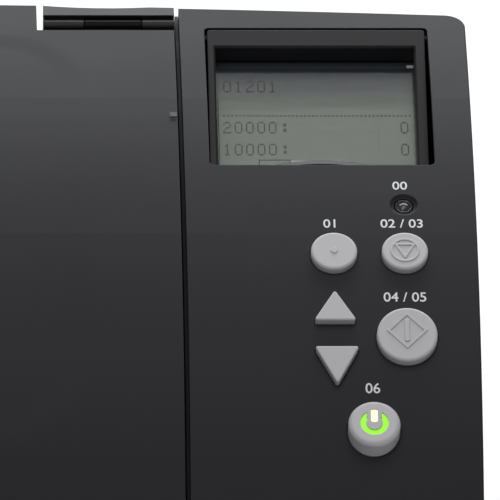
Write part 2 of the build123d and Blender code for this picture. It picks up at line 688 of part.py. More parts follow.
# Scan units, one under the upper leg and one over it
for name, along, above, depth in (
    ("lower_scan_unit", 34.0, -PATH_GAP, -26.0),
    ("upper_scan_unit", 62.0, PATH_GAP, 26.0),
):
    with BuildPart() as scan_unit:
        with BuildSketch(leg_plane(above)):
            with Locations((0, along)):
                RectangleRounded(296.0, 24.0, 2.0)
        extrude(amount=depth)
        chamfer(scan_unit.faces().sort_by(Axis.Z)[-1 if depth < 0 else 0].edges(), 0.8)
    write(scan_unit, name)

# Inner side of the paper path: lower leg, turn and upper leg in one bent sheet
inner_near, inner_far = TURN_RADIUS - PATH_GAP, TURN_RADIUS - PATH_GAP - SHEET
GUIDE_START = 16.0
with BuildPart() as core_guide:
    with BuildSketch(Plane.YZ.offset(INSIDE_LEFT)):
        with BuildLine():
            Line((GUIDE_START, TURN_Z - inner_near), (TURN_Y, TURN_Z - inner_near))
            ThreePointArc(*(turn_point(a, inner_near) for a in (-90.0, 10.0, leg_turn)))
            Line(turn_point(leg_turn, inner_near), leg_point(1, -guide_low))
            Line(leg_point(1, -guide_low), leg_point(1, -guide_high))
            Line(leg_point(1, -guide_high), turn_point(leg_turn, inner_far))
            ThreePointArc(*(turn_point(a, inner_far) for a in (leg_turn, 10.0, -90.0)))
            Line((TURN_Y, TURN_Z - inner_far), (GUIDE_START, TURN_Z - inner_far))
            Line((GUIDE_START, TURN_Z - inner_far), (GUIDE_START, TURN_Z - inner_near))
        make_face()
    extrude(amount=FRAME_RIGHT - INSIDE_LEFT)
    for name, (axis, radius) in FRAME_ROLLERS.items():
        for tyre in NARROW_TYRES if name in ("pick_roller", "feed_roller", "brake_roller") else WIDE_TYRES:
            x = COVER_MIDDLE + tyre
            rod(x - TYRE_WIDTH / 2 - 2, x + TYRE_WIDTH / 2 + 2, *axis, radius + 1.5, mode=Mode.SUBTRACT)
    for axis in (TRANSPORT_AXIS, EXIT_AXIS):
        rod(FRAME_RIGHT - 1.5, FRAME_RIGHT + 1, *axis, BUSH / 2 + 2, mode=Mode.SUBTRACT)
    with BuildSketch(leg_plane(-5)):
        with Locations((0, 34.0)):
            Rectangle(298.0, 25.0)
    extrude(amount=5.0, mode=Mode.SUBTRACT)
write(core_guide, "core_guide")

# Outer side of the paper path: lower leg and the fixed part of the turn
with BuildPart() as outer_guide:
    with BuildSketch(Plane.YZ.offset(INSIDE_LEFT)):
        with BuildLine():
            Line((GUIDE_START, TURN_Z - outer_near), (TURN_Y, TURN_Z - outer_near))
            ThreePointArc(*(turn_point(a, outer_near) for a in (-90.0, -10.0, 74.0)))
            Line(turn_point(74.0, outer_near), turn_point(74.0, outer_far))
            ThreePointArc(*(turn_point(a, outer_far) for a in (74.0, -10.0, -90.0)))
            Line((TURN_Y, TURN_Z - outer_far), (GUIDE_START, TURN_Z - outer_far))
            Line((GUIDE_START, TURN_Z - outer_far), (GUIDE_START, TURN_Z - outer_near))
        make_face()
    extrude(amount=FRAME_RIGHT - INSIDE_LEFT)
    for name in ("feed_roller", "brake_roller", "turn_roller"):
        axis, radius = FRAME_ROLLERS[name]
        for tyre in WIDE_TYRES if name == "turn_roller" else NARROW_TYRES:
            x = COVER_MIDDLE + tyre
            rod(x - TYRE_WIDTH / 2 - 2, x + TYRE_WIDTH / 2 + 2, *axis, radius + 1.5, mode=Mode.SUBTRACT)
write(outer_guide, "outer_guide")

# Flanged bushes for the roller shafts, in both frames
with BuildPart() as roller_bushes:
    for start in (FRAME_LEFT - 1.0, FRAME_RIGHT - 1.0):
        for axis, _ in FRAME_ROLLERS.values():
            rod(start, start + FRAME_PLATE + 1.0, *axis, BUSH / 2)
            rod(start, start + 1.0, *axis, BUSH / 2 + 1.5)
    for axis, _ in FRAME_ROLLERS.values():
        rod(FRAME_LEFT - 1, FRAME_RIGHT + 5, *axis, SHAFT / 2 + RUNNING, mode=Mode.SUBTRACT)
write(roller_bushes, "roller_bushes")

# Rollers in the frames: shaft, rubber tyres and, on those that are driven, a pulley outside the left frame
for name, (axis, radius) in FRAME_ROLLERS.items():
    feeding = name in ("pick_roller", "feed_roller", "brake_roller")
    with BuildPart() as roller:
        end = MOTOR_PULLEYS[0] if name in ("pick_roller", "feed_roller") else TRANSPORT_PULLEYS[0]
        end = FRAME_LEFT - 2.0 if name == "brake_roller" else end
        rod(end, FRAME_RIGHT + FRAME_PLATE + 2, *axis, SHAFT / 2)
        for tyre in NARROW_TYRES if feeding else WIDE_TYRES:
            x = COVER_MIDDLE + tyre
            rod(x - TYRE_WIDTH / 2, x + TYRE_WIDTH / 2, *axis, radius)
        if name in ("pick_roller", "feed_roller"):
            rod(*MOTOR_PULLEYS, *axis, PULLEY_SHARE * radius)
        if name not in ("pick_roller", "brake_roller"):
            rod(*TRANSPORT_PULLEYS, *axis, PULLEY_SHARE * radius)
    write(roller, name)

# Pinch rollers that ride in the upper frame
for name, axis in (("transport_pinch_roller", TRANSPORT_PINCH_AXIS), ("exit_pinch_roller", EXIT_PINCH_AXIS)):
    with BuildPart() as pinch_roller:
        rod(SIDE_PLATES[0] - 0.3, SIDE_PLATES[1] + FRAME_PLATE + 0.3, *axis, 3.0)
        for tyre in WIDE_TYRES:
            x = COVER_MIDDLE + tyre
            rod(x - TYRE_WIDTH / 2, x + TYRE_WIDTH / 2, *axis, PINCH_RADIUS)
    write(pinch_roller, name)

# Motor inside the left frame, and its pulley outside
with BuildPart() as drive_motor:
    rod(INSIDE_LEFT, INSIDE_LEFT + 42.0, *MOTOR_AXIS, MOTOR_RADIUS)
    chamfer(drive_motor.edges().filter_by(GeomType.CIRCLE), 1.5)
    rod(FRAME_LEFT, INSIDE_LEFT, *MOTOR_AXIS, 6.9)
    rod(FRAME_LEFT - 1, INSIDE_LEFT + 20, *MOTOR_AXIS, 2.5 + RUNNING, mode=Mode.SUBTRACT)
write(drive_motor, "drive_motor")
MOTOR_PULLEY_RADIUS = 8.0
with BuildPart() as motor_pulley:
    rod(MOTOR_PULLEYS[0], INSIDE_LEFT + 19.0, *MOTOR_AXIS, 2.5)
    rod(*MOTOR_PULLEYS, *MOTOR_AXIS, MOTOR_PULLEY_RADIUS)
write(motor_pulley, "motor_pulley")

# Drive belts: one from the motor to the feed and pick rollers, one round the four rollers of the path
MOTOR_LOOP = [(MOTOR_AXIS, MOTOR_PULLEY_RADIUS)] + [
    (FRAME_ROLLERS[name][0], PULLEY_SHARE * FRAME_ROLLERS[name][1])
    for name in ("feed_roller", "pick_roller")
]
TRANSPORT_LOOP = [
    (FRAME_ROLLERS[name][0], PULLEY_SHARE * FRAME_ROLLERS[name][1])
    for name in ("feed_roller", "turn_roller", "transport_roller", "exit_roller")
]


def belt_hull(left, loop, extra):
    """The outline of a belt round a set of pulleys, standing off them by so much."""
    with BuildSketch(Plane.YZ.offset(left), mode=Mode.PRIVATE) as outline:
        for axis, radius in loop:
            with Locations(axis):
                Circle(radius + extra)
        make_hull()
    return outline.sketch


with BuildPart() as drive_belts:
    for (left, right), loop in ((MOTOR_PULLEYS, MOTOR_LOOP), (TRANSPORT_PULLEYS, TRANSPORT_LOOP)):
        extrude(belt_hull(left + 1, loop, BELT_GAP + BELT), amount=right - left - 2)
    for (left, right), loop in ((MOTOR_PULLEYS, MOTOR_LOOP), (TRANSPORT_PULLEYS, TRANSPORT_LOOP)):
        extrude(belt_hull(left + 1, loop, BELT_GAP), amount=right - left - 2, mode=Mode.SUBTRACT)
write(drive_belts, "drive_belts")

# Power supply and control board on the base
with BuildPart() as power_supply:
    block((-128.0, 10.0), (60.0, 180.0), (14.5, 46.0))
    with BuildSketch(Plane.XY.offset(46.0)):
        with Locations((-59.0, 120.0)):
            with GridLocations(0, 8.0, 1, 12):
                SlotOverall(100.0, 3.0)
    extrude(amount=-1.5, mode=Mode.SUBTRACT)
    with BuildSketch(Plane.XY.offset(FLOOR_TOP)):
        with Locations((-59.0, 120.0)):
            with GridLocations(120.0, 100.0, 2, 2):
                Circle(4.0)
    extrude(amount=4.0)
write(power_supply, "power_supply")
with BuildPart() as control_board:
    block((24.0, 136.0), (50.0, 180.0), (16.5, 18.1))
    for chip in ((50, 150, 26, 26, 3), (95, 150, 18, 30, 3), (60, 100, 14, 40, 5), (110, 95, 30, 14, 12)):
        with Locations((chip[0], chip[1], 18.1)):
            Box(*chip[2:], align=(Align.CENTER, Align.CENTER, Align.MIN))
    with BuildSketch(Plane.XY.offset(FLOOR_TOP)):
        with Locations((80.0, 115.0)):
            with GridLocations(100.0, 118.0, 2, 2):
                Circle(3.0)
    extrude(amount=6.0)
write(control_board, "control_board")

# Socket plate behind the rear opening, with a mains inlet and a data socket
with BuildPart() as rear_sockets:
    block((SOCKETS_X[0] - 3, SOCKETS_X[1] + 3), (206.6, 208.2), (SOCKETS_Z[0] - 3, SOCKETS_Z[1] + 3))
    block((56.0, 84.0), (188.0, 210.0), (33.5, 54.5))
    block((58.5, 81.5), (194.0, 211.0), (36.0, 52.0), mode=Mode.SUBTRACT)
    for pin_x, pin_z in ((63.0, 42.0), (77.0, 42.0), (70.0, 46.0)):
        block((pin_x - 1, pin_x + 1), (193.0, 203.0), (pin_z - 2, pin_z + 2))
    block((110.0, 124.0), (196.0, 209.2), (37.0, 50.0))
    block((111.5, 122.5), (199.0, 210.0), (38.5, 48.5), mode=Mode.SUBTRACT)
    block((114.0, 120.0), (198.0, 204.0), (41.5, 45.5))
write(rear_sockets, "rear_sockets")

# Front wall between the hopper mouth and the exit, with the ears for the delivery tray
BRIDGE = (STRIP_RIGHT + 0.2, PANEL_LEFT - 0.2)
bridge_front = ARCH_FRONT_Y
TRAY_PIN = 2.5
EARS = ((BRIDGE[0], TRAY_LEFT - 1.0), (TRAY_RIGHT + 1.0, BRIDGE[1]))
with BuildPart() as feed_bridge:
    prism(*BRIDGE, (
        (bridge_front, 118.0), (bridge_front, 147.0), (-3.0, 178.0), (-0.2, 176.5),
        (bridge_front + SKIN, 146.2), (bridge_front + SKIN, 118.0),
    ))
    for left, right in EARS:
        rod(left, right, TRAY_PIVOT_Y, TRAY_PIVOT_Z, 6.0)
        prism(left, right, (
            (TRAY_PIVOT_Y, 144.0), (bridge_front + 1, 136.0),
            (bridge_front + 1, 150.0), (TRAY_PIVOT_Y, 156.0),
        ))
        rod(left - 1, right + 1, TRAY_PIVOT_Y, TRAY_PIVOT_Z, TRAY_PIN + RUNNING, mode=Mode.SUBTRACT)
write(feed_bridge, "feed_bridge")

# Ramp that lines up the sheets in the hopper and leads them to the brake roller
with BuildPart() as feed_ramp:
    prism(*BRIDGE, (
        (-12.0, DECK_TOP + SEAM), (-12.0, 96.0), (-1.0, 106.4), (14.0, 108.5),
        (14.0, 106.5), (0.0, 104.4), (-9.5, 95.0), (-9.5, DECK_TOP + SEAM),
    ))
write(feed_ramp, "feed_ramp")

# Two steel rods that the hopper table slides on
RODS_X = (TABLE_LEFT + 20.0, TABLE_RIGHT - 20.0)
with BuildPart() as lift_rods:
    with BuildSketch(Plane.XY.offset(FLOOR_TOP)):
        with Locations(*((x, ROD_Y) for x in RODS_X)):
            Circle(3.0)
    extrude(amount=112.0 - FLOOR_TOP)
write(lift_rods, "lift_rods")

# Hopper table: a shell with two cross slots for the paper guides and a mouth for the extension
GUIDE_Y = -76.0
GUIDE_FACE = (PATH_LEFT, PATH_LEFT + PATH_WIDTH)
GUIDE_THICK = 2.5
GUIDE_TRAVEL = 60.0
NECK = 8.0
TABLE_SKIN_LOW = TABLE_TOP - SKIN
EXTENSION_X = (-58.0, 22.7)
neck_spans = {
    "paper_guide_left": (GUIDE_FACE[0] - GUIDE_THICK, GUIDE_FACE[0] - GUIDE_THICK + NECK),
    "paper_guide_right": (GUIDE_FACE[1] + GUIDE_THICK - NECK, GUIDE_FACE[1] + GUIDE_THICK),
}
with BuildPart() as hopper_table:
    block((TABLE_LEFT, TABLE_RIGHT), (TABLE_FRONT, TABLE_REAR), (TABLE_BOTTOM, TABLE_TOP))
    fillet(hopper_table.edges().filter_by(Axis.Z).group_by(Axis.Y)[0], 16.0)
    fillet(hopper_table.faces().sort_by(Axis.Z)[-1].edges(), 1.5)
    offset(amount=-SKIN, openings=hopper_table.faces().sort_by(Axis.Z)[0])
    for x in RODS_X:
        with Locations((x, ROD_Y, TABLE_BOTTOM)):
            Cylinder(7.0, TABLE_TOP - TABLE_BOTTOM - 1, align=(Align.CENTER, Align.CENTER, Align.MIN))
    with Locations(*((x, ROD_Y, TABLE_TOP) for x in RODS_X)):
        Hole(3.0 + RUNNING, depth=TABLE_TOP - TABLE_BOTTOM)
    slot_gap = 0.4
    for (left, right), travel in zip(neck_spans.values(), (GUIDE_TRAVEL, -GUIDE_TRAVEL)):
        span = (min(left, left + travel) - slot_gap, max(right, right + travel) + slot_gap)
        block(span, (GUIDE_Y - 4, GUIDE_Y + 4), (TABLE_SKIN_LOW - 1, TABLE_TOP + 1), mode=Mode.SUBTRACT)
    block((EXTENSION_X[0] - 0.5, EXTENSION_X[1] + 0.5), (TABLE_FRONT - 1, TABLE_FRONT + 6), (48.4, 52.4),
          mode=Mode.SUBTRACT)
    # Boss for the guides' pinion
    with Locations((COVER_MIDDLE, GUIDE_Y, TABLE_TOP - 1)):
        Cylinder(2.0, 6.6, align=(Align.CENTER, Align.CENTER, Align.MAX))
write(hopper_table, "hopper_table")

# Hopper extension that slides out of the table
with BuildPart() as hopper_extension:
    block(EXTENSION_X, (TABLE_FRONT - 1.5, -45.0), (48.9, 51.9))
    block(EXTENSION_X, (TABLE_FRONT - 5.0, TABLE_FRONT - 1.0), (48.9, 57.0))
    fillet(hopper_extension.edges().filter_by(Axis.X).group_by(Axis.Y)[0], 1.2)
write(hopper_extension, "hopper_extension")

# Paper guides with their racks, one each side, and the pinion that ties them together
PINION_PITCH = 6.0
PINION_TEETH = 12
TOOTH_PITCH = 2 * pi * PINION_PITCH / PINION_TEETH
TOOTH = 1.1
RACK_Z = (53.6, 57.1)
rack_gap = 7.0
for name, side in (("paper_guide_left", -1), ("paper_guide_right", 1)):
    neck_left, neck_right = neck_spans[name]
    wall = GUIDE_FACE[0] - GUIDE_THICK if side < 0 else GUIDE_FACE[1]
    rack_end = COVER_MIDDLE - side * 9.0
    rack_x = (neck_left, rack_end) if side < 0 else (rack_end, neck_right)
    near, far = GUIDE_Y + side * rack_gap, GUIDE_Y + side * (rack_gap + 5.0)
    with BuildPart() as paper_guide:
        block((wall, wall + GUIDE_THICK), (-160.0, -44.0), (TABLE_TOP + 0.3, 92.0))
        fillet(paper_guide.edges().filter_by(Axis.X).group_by(Axis.Z)[-1], 10.0)
        block((neck_left, neck_right), (GUIDE_Y - 20, GUIDE_Y + 20), (TABLE_TOP + 0.3, TABLE_TOP + 2.3))
        block((neck_left, neck_right), (GUIDE_Y - 3.7, GUIDE_Y + 3.7), (RACK_Z[0], TABLE_TOP + 1))
        block((neck_left, neck_right), sorted((GUIDE_Y - side * 3.7, far)), RACK_Z)
        block(rack_x, sorted((near, far)), RACK_Z)
        # Each rack tooth stands in the gap between two teeth of the pinion when the guides are widest.
        for index in range(-3, 22):
            x = COVER_MIDDLE + side * (index + 0.5) * TOOTH_PITCH
            block((x - TOOTH / 2, x + TOOTH / 2), sorted((near, near - side * 1.5)), RACK_Z)
    write(paper_guide, name)
with BuildPart() as guide_pinion:
    with Locations((COVER_MIDDLE, GUIDE_Y, RACK_Z[0])):
        Cylinder(5.0, RACK_Z[1] - RACK_Z[0], align=(Align.CENTER, Align.CENTER, Align.MIN))
    with BuildSketch(Plane.XY.offset(RACK_Z[0])):
        with Locations((COVER_MIDDLE, GUIDE_Y)):
            with PolarLocations(5.6, PINION_TEETH):
                Rectangle(2.0, TOOTH)
    extrude(amount=RACK_Z[1] - RACK_Z[0])
    with Locations((COVER_MIDDLE, GUIDE_Y, RACK_Z[0])):
        Cylinder(2.0 + RUNNING, 20, mode=Mode.SUBTRACT)
write(guide_pinion, "guide_pinion")

# Delivery tray on its trunnions, with ribs, a thumb cut-out and rails for the extension
tray_plane = Plane(
    origin=(COVER_MIDDLE, TRAY_PIVOT_Y, TRAY_PIVOT_Z),
    x_dir=(1, 0, 0),
    z_dir=(0, sin(radians(TRAY_TILT)), cos(radians(TRAY_TILT))),
)
tray_width = TRAY_RIGHT - TRAY_LEFT
TRAY_START = 4.5
RAIL_X = 58.0
with BuildPart() as stacker_tray:
    with BuildSketch(tray_plane) as tray_sketch:
        with Locations((0, -(TRAY_LENGTH + TRAY_START) / 2)):
            Rectangle(tray_width, TRAY_LENGTH - TRAY_START)
        fillet(tray_sketch.vertices().group_by(Axis.Y)[0], 14.0)
        with Locations((0, -TRAY_LENGTH - 12.0)):
            Circle(34.0, mode=Mode.SUBTRACT)
    extrude(amount=3.0)
    with BuildSketch(tray_plane.offset(3.0)):
        for rib in (-110.0, -70.0, 70.0, 110.0):
            with Locations((rib, -(TRAY_LENGTH + TRAY_START) / 2)):
                SlotOverall(TRAY_LENGTH - 30.0, 3.0, rotation=90)
    extrude(amount=1.2)
    with BuildSketch(tray_plane):
        for side in (-1, 1):
            with Locations((side * (tray_width / 2 - 1.25), -60.0)):
                Rectangle(2.5, 100.0)
    extrude(amount=12.0)
    with BuildSketch(tray_plane):
        for side in (-1, 1):
            with Locations((side * (tray_width / 2 - 1.5), 0.0)):
                Rectangle(3.0, 14.0)
    extrude(amount=3.0, both=True)
    with BuildSketch(tray_plane):
        for side in (-1, 1):
            with Locations((side * (RAIL_X + 2.6), -(TRAY_LENGTH + TRAY_START) / 2 + 8)):
                Rectangle(2.4, TRAY_LENGTH - 40.0)
    extrude(amount=-6.0)
    with BuildSketch(tray_plane.offset(-6.0)):
        for side in (-1, 1):
            with Locations((side * (RAIL_X - 0.2), -(TRAY_LENGTH + TRAY_START) / 2 + 8)):
                Rectangle(8.0, TRAY_LENGTH - 40.0)
    extrude(amount=-1.6)
    rod(TRAY_LEFT - 6.0, TRAY_LEFT + 3, TRAY_PIVOT_Y, TRAY_PIVOT_Z, TRAY_PIN)
    rod(TRAY_RIGHT - 3, TRAY_RIGHT + 6.0, TRAY_PIVOT_Y, TRAY_PIVOT_Z, TRAY_PIN)
write(stacker_tray, "stacker_tray")

# Extension of the delivery tray, with an upturned end that stops the sheets
with BuildPart() as stacker_extension:
    with BuildSketch(tray_plane.offset(-0.6)):
        with Locations((0, -TRAY_LENGTH / 2 - 12.0)):
            Rectangle(2 * RAIL_X, TRAY_LENGTH - 20.0)
    extrude(amount=-4.6)
    with BuildSketch(tray_plane.offset(-5.2)):
        with Locations((0, -TRAY_LENGTH - 3.8)):
            Rectangle(2 * RAIL_X, 4.0)
    extrude(amount=12.0)
write(stacker_extension, "stacker_extension")

# Release lever under the cover's front edge, with its shaft and two catches
LEVER_AXIS = (16.0, 212.0)
with BuildPart() as release_lever:
    rod(-56.0, 20.7, *LEVER_AXIS, 4.6)
    tip_out, tip_in = arch_point(65.6, 7.6), arch_point(65.6, 10.2)
    prism(-56.0, 20.7, ((14.2, 215.6), tip_out, tip_in, (17.8, 208.4)))
    rod(-57.0, 21.7, *LEVER_AXIS, 3.0, mode=Mode.SUBTRACT)
write(release_lever, "release_lever")
HOOK_X = (-172.0, 134.8)
with BuildPart() as latch_hooks:
    rod(HOOK_X[0], HOOK_X[1] + 2.0, *LEVER_AXIS, 3.0)
    for left in HOOK_X:
        prism(left, left + 2.0, (
            (18.0, 216.0), (11.0, 214.5), (3.2, 198.0), (3.2, 184.4), (6.8, 184.4), (6.2, 185.6),
            (5.4, 187.0), (5.4, 197.0), (13.0, 207.0), (20.0, 208.0),
        ))
write(latch_hooks, "latch_hooks")

# Tilting display: frame with trunnions and a finger tab, window and display module
FRAME_TOP_BAR = 6.5
WINDOW_DEPTH = 7.0
OPENING = (61.6, DISPLAY_LENGTH - FRAME_TOP_BAR - 4.0)
OPENING_BEVEL = 0.6
POCKET = (63.6, 57.5)
opening_place = (-0.5, -(FRAME_TOP_BAR + OPENING[1] / 2))
with BuildPart() as display_frame:
    with BuildSketch(display_plane):
        with Locations((0, -DISPLAY_LENGTH / 2)):
            RectangleRounded(DISPLAY_WIDTH, DISPLAY_LENGTH, 0.9)
    extrude(amount=-DISPLAY_DEPTH)
    with BuildSketch(display_plane):
        with Locations(opening_place):
            Rectangle(*OPENING)
    extrude(amount=-DISPLAY_DEPTH, mode=Mode.SUBTRACT)
    frame_face = display_frame.faces().sort_by(Axis(display_plane.origin, display_plane.z_dir))[-1]
    chamfer(frame_face.inner_wires()[0].edges(), OPENING_BEVEL)
    with BuildSketch(display_plane.offset(-WINDOW_DEPTH)):
        with Locations(opening_place):
            Rectangle(*POCKET)
    extrude(amount=-DISPLAY_DEPTH, mode=Mode.SUBTRACT)
    rod(CUTOUT_LEFT - 1.9, DISPLAY_X - OPENING[0] / 2 - 1, display_axis.Y, display_axis.Z, TRUNNION)
    rod(DISPLAY_X + OPENING[0] / 2 + 1, CUTOUT_RIGHT + 1.9, display_axis.Y, display_axis.Z, TRUNNION)
    tab = display_plane.from_local_coords((0, -DISPLAY_LENGTH, 0))
    with BuildSketch(Plane.XZ.offset(-tab.Y - 1.6)):
        with BuildLine():
            ThreePointArc((DISPLAY_X - 16, 297.4), (DISPLAY_X, 299.4), (DISPLAY_X + 16, 297.4))
            Polyline((DISPLAY_X + 16, 297.4), (DISPLAY_X + 14, tab.Z - 6), (DISPLAY_X - 14, tab.Z - 6),
                     (DISPLAY_X - 16, 297.4))
        make_face()
    extrude(amount=2.0)
write(display_frame, "display_frame")
WINDOW = 1.4
with BuildPart() as display_window:
    with BuildSketch(display_plane.offset(-WINDOW_DEPTH)):
        with Locations(opening_place):
            Rectangle(POCKET[0] - 0.2, POCKET[1] - 0.2)
    extrude(amount=-WINDOW)
write(display_window, "display_window")
with BuildPart() as display_module:
    with BuildSketch(display_plane.offset(-WINDOW_DEPTH - WINDOW)):
        with Locations(opening_place):
            Rectangle(POCKET[0] - 0.6, POCKET[1] - 0.6)
    extrude(amount=-5.0)
    with BuildSketch(display_plane.offset(-WINDOW_DEPTH - WINDOW - 5.0)):
        with Locations(opening_place):
            Rectangle(40.0, 12.0)
    extrude(amount=-2.0)
write(display_module, "display_module")

# Buttons: cap, flange under the skin and stem, with each one's raised mark
FLANGE_REACH = 1.2
LEAN_REACH = 9.2
STEM_END = BOARD_INSET - 2.6
MARK = 0.3
CAP_EDGES = {"power_button": 1.6, "up_button": 0.5, "down_button": 0.5}
CAP_EDGE = 0.9
LIGHT_DEPTH = 1.0
LIGHT_INSET = 0.45
for name, (_, _, rise, lean) in BUTTONS.items():
    flange_top = SKIN + BUTTON_PLAY + LEAN_REACH * tan(radians(lean))
    with BuildPart() as button:
        cap = button_face(name, button_plane(name, -flange_top - 0.1))
        extrude(cap, amount=flange_top + 0.1 + rise)
        rim = button.faces().sort_by(Axis.Z)[-1].edges()
        fillet(rim, CAP_EDGES.get(name, CAP_EDGE))
        extrude(button_face(name, button_plane(name, -flange_top), FLANGE_REACH), amount=-BUTTON_FLANGE)
        with Locations(button_plane(name, -flange_top - 0.5)):
            Cylinder(1.8, STEM_END - flange_top - 0.5, align=(Align.CENTER, Align.CENTER, Align.MAX))
        face_plane = button_plane(name, rise)
        if name == "menu_button":
            with Locations(face_plane):
                Cylinder(1.1, 2 * MARK)
        if name == "stop_button":
            with BuildSketch(face_plane):
                Circle(4.45)
                Circle(3.75, mode=Mode.SUBTRACT)
                with Locations((0, 0.55)):
                    RegularPolygon(3.9, 3, rotation=-90)
                    RegularPolygon(2.6, 3, rotation=-90, mode=Mode.SUBTRACT)
            extrude(amount=MARK)
        if name == "scan_button":
            with BuildSketch(face_plane):
                with Locations((0, 1.2)):
                    Rectangle(8.9, 8.9, rotation=45)
                    Rectangle(7.2, 7.2, rotation=45, mode=Mode.SUBTRACT)
                    RectangleRounded(1.5, 7.6, 0.5)
            extrude(amount=MARK)
        if name == "power_button":
            with BuildSketch(face_plane) as power_mark:
                Circle(4.3)
                Circle(2.5, mode=Mode.SUBTRACT)
                with Locations((0, 3.9)):
                    Rectangle(4.6, 4.4, mode=Mode.SUBTRACT)
                with Locations((0, 2.5)):
                    RectangleRounded(2.1, 4.4, 0.6)
            extrude(amount=-LIGHT_DEPTH, mode=Mode.SUBTRACT)
    write(button, name)

# Lit power mark, let into the power button
with BuildPart() as power_mark_light:
    extrude(power_mark.sketch, amount=-LIGHT_DEPTH)
    extrude(power_mark.sketch, amount=-LIGHT_INSET, mode=Mode.SUBTRACT)
write(power_mark_light, "power_mark_light")

# Check lamp lens, standing on the board
with BuildPart() as check_lamp:
    with Locations(arch_plane(*LAMP, inset=BOARD_INSET)):
        Cylinder(LAMP_RADIUS, BOARD_INSET - 0.6, align=(Align.CENTER, Align.CENTER, Align.MIN))
    fillet(check_lamp.edges().sort_by(Axis.Z)[-1], 0.8)
write(check_lamp, "check_lamp")

# Board under the buttons, with one switch for each
with BuildPart() as button_board:
    arch_slab(152.0, 226.0, slope_at(94.0), slope_at(193.0), BOARD_INSET, BOARD_INSET + 1.6)
    for name in BUTTONS:
        with Locations(button_plane(name, -BOARD_INSET - 1.0)):
            Cylinder(3.0, 2.4, align=(Align.CENTER, Align.CENTER, Align.MIN))
write(button_board, "button_board")
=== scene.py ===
import json
import math

import bmesh
import bpy
from mathutils import Matrix, Vector


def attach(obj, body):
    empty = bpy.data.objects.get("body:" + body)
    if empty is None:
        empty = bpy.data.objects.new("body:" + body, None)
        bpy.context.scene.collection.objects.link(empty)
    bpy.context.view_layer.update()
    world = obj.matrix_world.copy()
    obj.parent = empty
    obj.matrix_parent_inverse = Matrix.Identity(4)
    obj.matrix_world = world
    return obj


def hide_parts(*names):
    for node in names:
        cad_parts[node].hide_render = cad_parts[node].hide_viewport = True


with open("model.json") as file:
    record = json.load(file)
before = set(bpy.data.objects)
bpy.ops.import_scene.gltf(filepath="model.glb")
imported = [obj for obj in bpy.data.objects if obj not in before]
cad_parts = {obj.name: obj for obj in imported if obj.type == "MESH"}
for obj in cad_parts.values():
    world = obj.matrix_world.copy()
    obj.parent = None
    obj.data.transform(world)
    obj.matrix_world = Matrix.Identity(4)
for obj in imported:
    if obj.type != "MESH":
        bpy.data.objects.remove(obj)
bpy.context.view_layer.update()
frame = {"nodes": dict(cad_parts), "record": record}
nodes = frame["nodes"]
MM = 0.001

# The arch of the top, as in the CAD: tangent arcs from the rear edge forward
ARCH_RADII = (480.0, 310.0, 200.0, 150.0)
ARCH_SLOPES = (0.0, 6.0, 17.0, 43.0, 90.0)
REAR_Y = 216.0
HEIGHT = 310.0

# The display's face: the middle of its upper edge, and its tilt
DISPLAY_TILT = math.radians(20.0)
DISPLAY_ORIGIN = Vector((183.5, 201.202, 309.6))


def arch_place(x, along, above=0.0):
    """A matrix lying on the top at x and at a distance along it from the rear edge, in millimetres."""
    y, z = REAR_Y, HEIGHT - ARCH_RADII[0]
    for index, radius in enumerate(ARCH_RADII):
        first, last = ARCH_SLOPES[index], ARCH_SLOPES[index + 1]
        if index:
            step = ARCH_RADII[index - 1] - radius
            y -= step * math.sin(math.radians(first))
            z += step * math.cos(math.radians(first))
        length = radius * math.radians(last - first)
        if along <= length:
            break
        along -= length
    slope = math.radians(first) + along / radius
    reach = radius + above
    place = Vector((x, y - reach * math.sin(slope), z + reach * math.cos(slope))) * MM
    right = Vector((1, 0, 0))
    normal = Vector((0, -math.sin(slope), math.cos(slope)))
    up = normal.cross(right)
    return frame_matrix(place, right, up, normal)


def frame_matrix(place, right, up, normal):
    """A matrix with the given axes and place."""
    columns = Matrix((right, up, normal)).transposed().to_4x4()
    columns.translation = place
    return columns


# Materials: the shell's colour and gloss, the softened edge in millimetres, and the Mix node's colour sockets

SHELL = (0.0165, 0.0163, 0.0182, 1.0)
SHELL_ROUGHNESS = 0.5
SHELL_GLOSS = 0.135
SOFT_EDGE = 0.35
MIX_FACTOR, MIX_FIRST, MIX_SECOND, MIX_RESULT = 0, 6, 7, 2


def new_material(name):
    """An empty material with a Principled shader, and its node tree."""
    material = bpy.data.materials.new(name)
    material.use_nodes = True
    tree = material.node_tree
    return material, tree, tree.nodes["Principled BSDF"]


def node(tree, kind, **values):
    """A node with its settings and input values."""
    made = tree.nodes.new(kind)
    for key, value in values.items():
        if key in made.inputs:
            made.inputs[key].default_value = value
        else:
            setattr(made, key, value)
    return made


def rgba(red, green, blue):
    """An sRGB colour of 0 to 255 as linear values."""
    linear = []
    for value in (red, green, blue):
        value /= 255
        linear.append(value / 12.92 if value <= 0.04045 else ((value + 0.055) / 1.055) ** 2.4)
    return (*linear, 1.0)


def axis_values(tree):
    """The X, Y and Z of a point of the object at rest, in metres, and the node that they come from."""
    where = node(tree, "ShaderNodeTexCoord")
    parts = node(tree, "ShaderNodeSeparateXYZ")
    tree.links.new(where.outputs["Object"], parts.inputs["Vector"])
    return parts.outputs["X"], parts.outputs["Y"], parts.outputs["Z"], where.outputs["Object"]


def maths(tree, operation, first, second=None):
    """The outcome of one operation on two numbers or sockets."""
    made = node(tree, "ShaderNodeMath", operation=operation)
    for index, value in enumerate((first, second)):
        if value is None:
            continue
        if isinstance(value, (int, float)):
            made.inputs[index].default_value = value
        else:
            tree.links.new(value, made.inputs[index])
    return made.outputs["Value"]


def ramp_between(tree, value, low, high, to_low=0.0, to_high=1.0):
    """A smooth step of a value between two limits."""
    made = node(tree, "ShaderNodeMapRange", interpolation_type="SMOOTHSTEP")
    made.inputs["From Min"].default_value = low
    made.inputs["From Max"].default_value = high
    made.inputs["To Min"].default_value = to_low
    made.inputs["To Max"].default_value = to_high
    tree.links.new(value, made.inputs["Value"])
    return made.outputs["Result"]


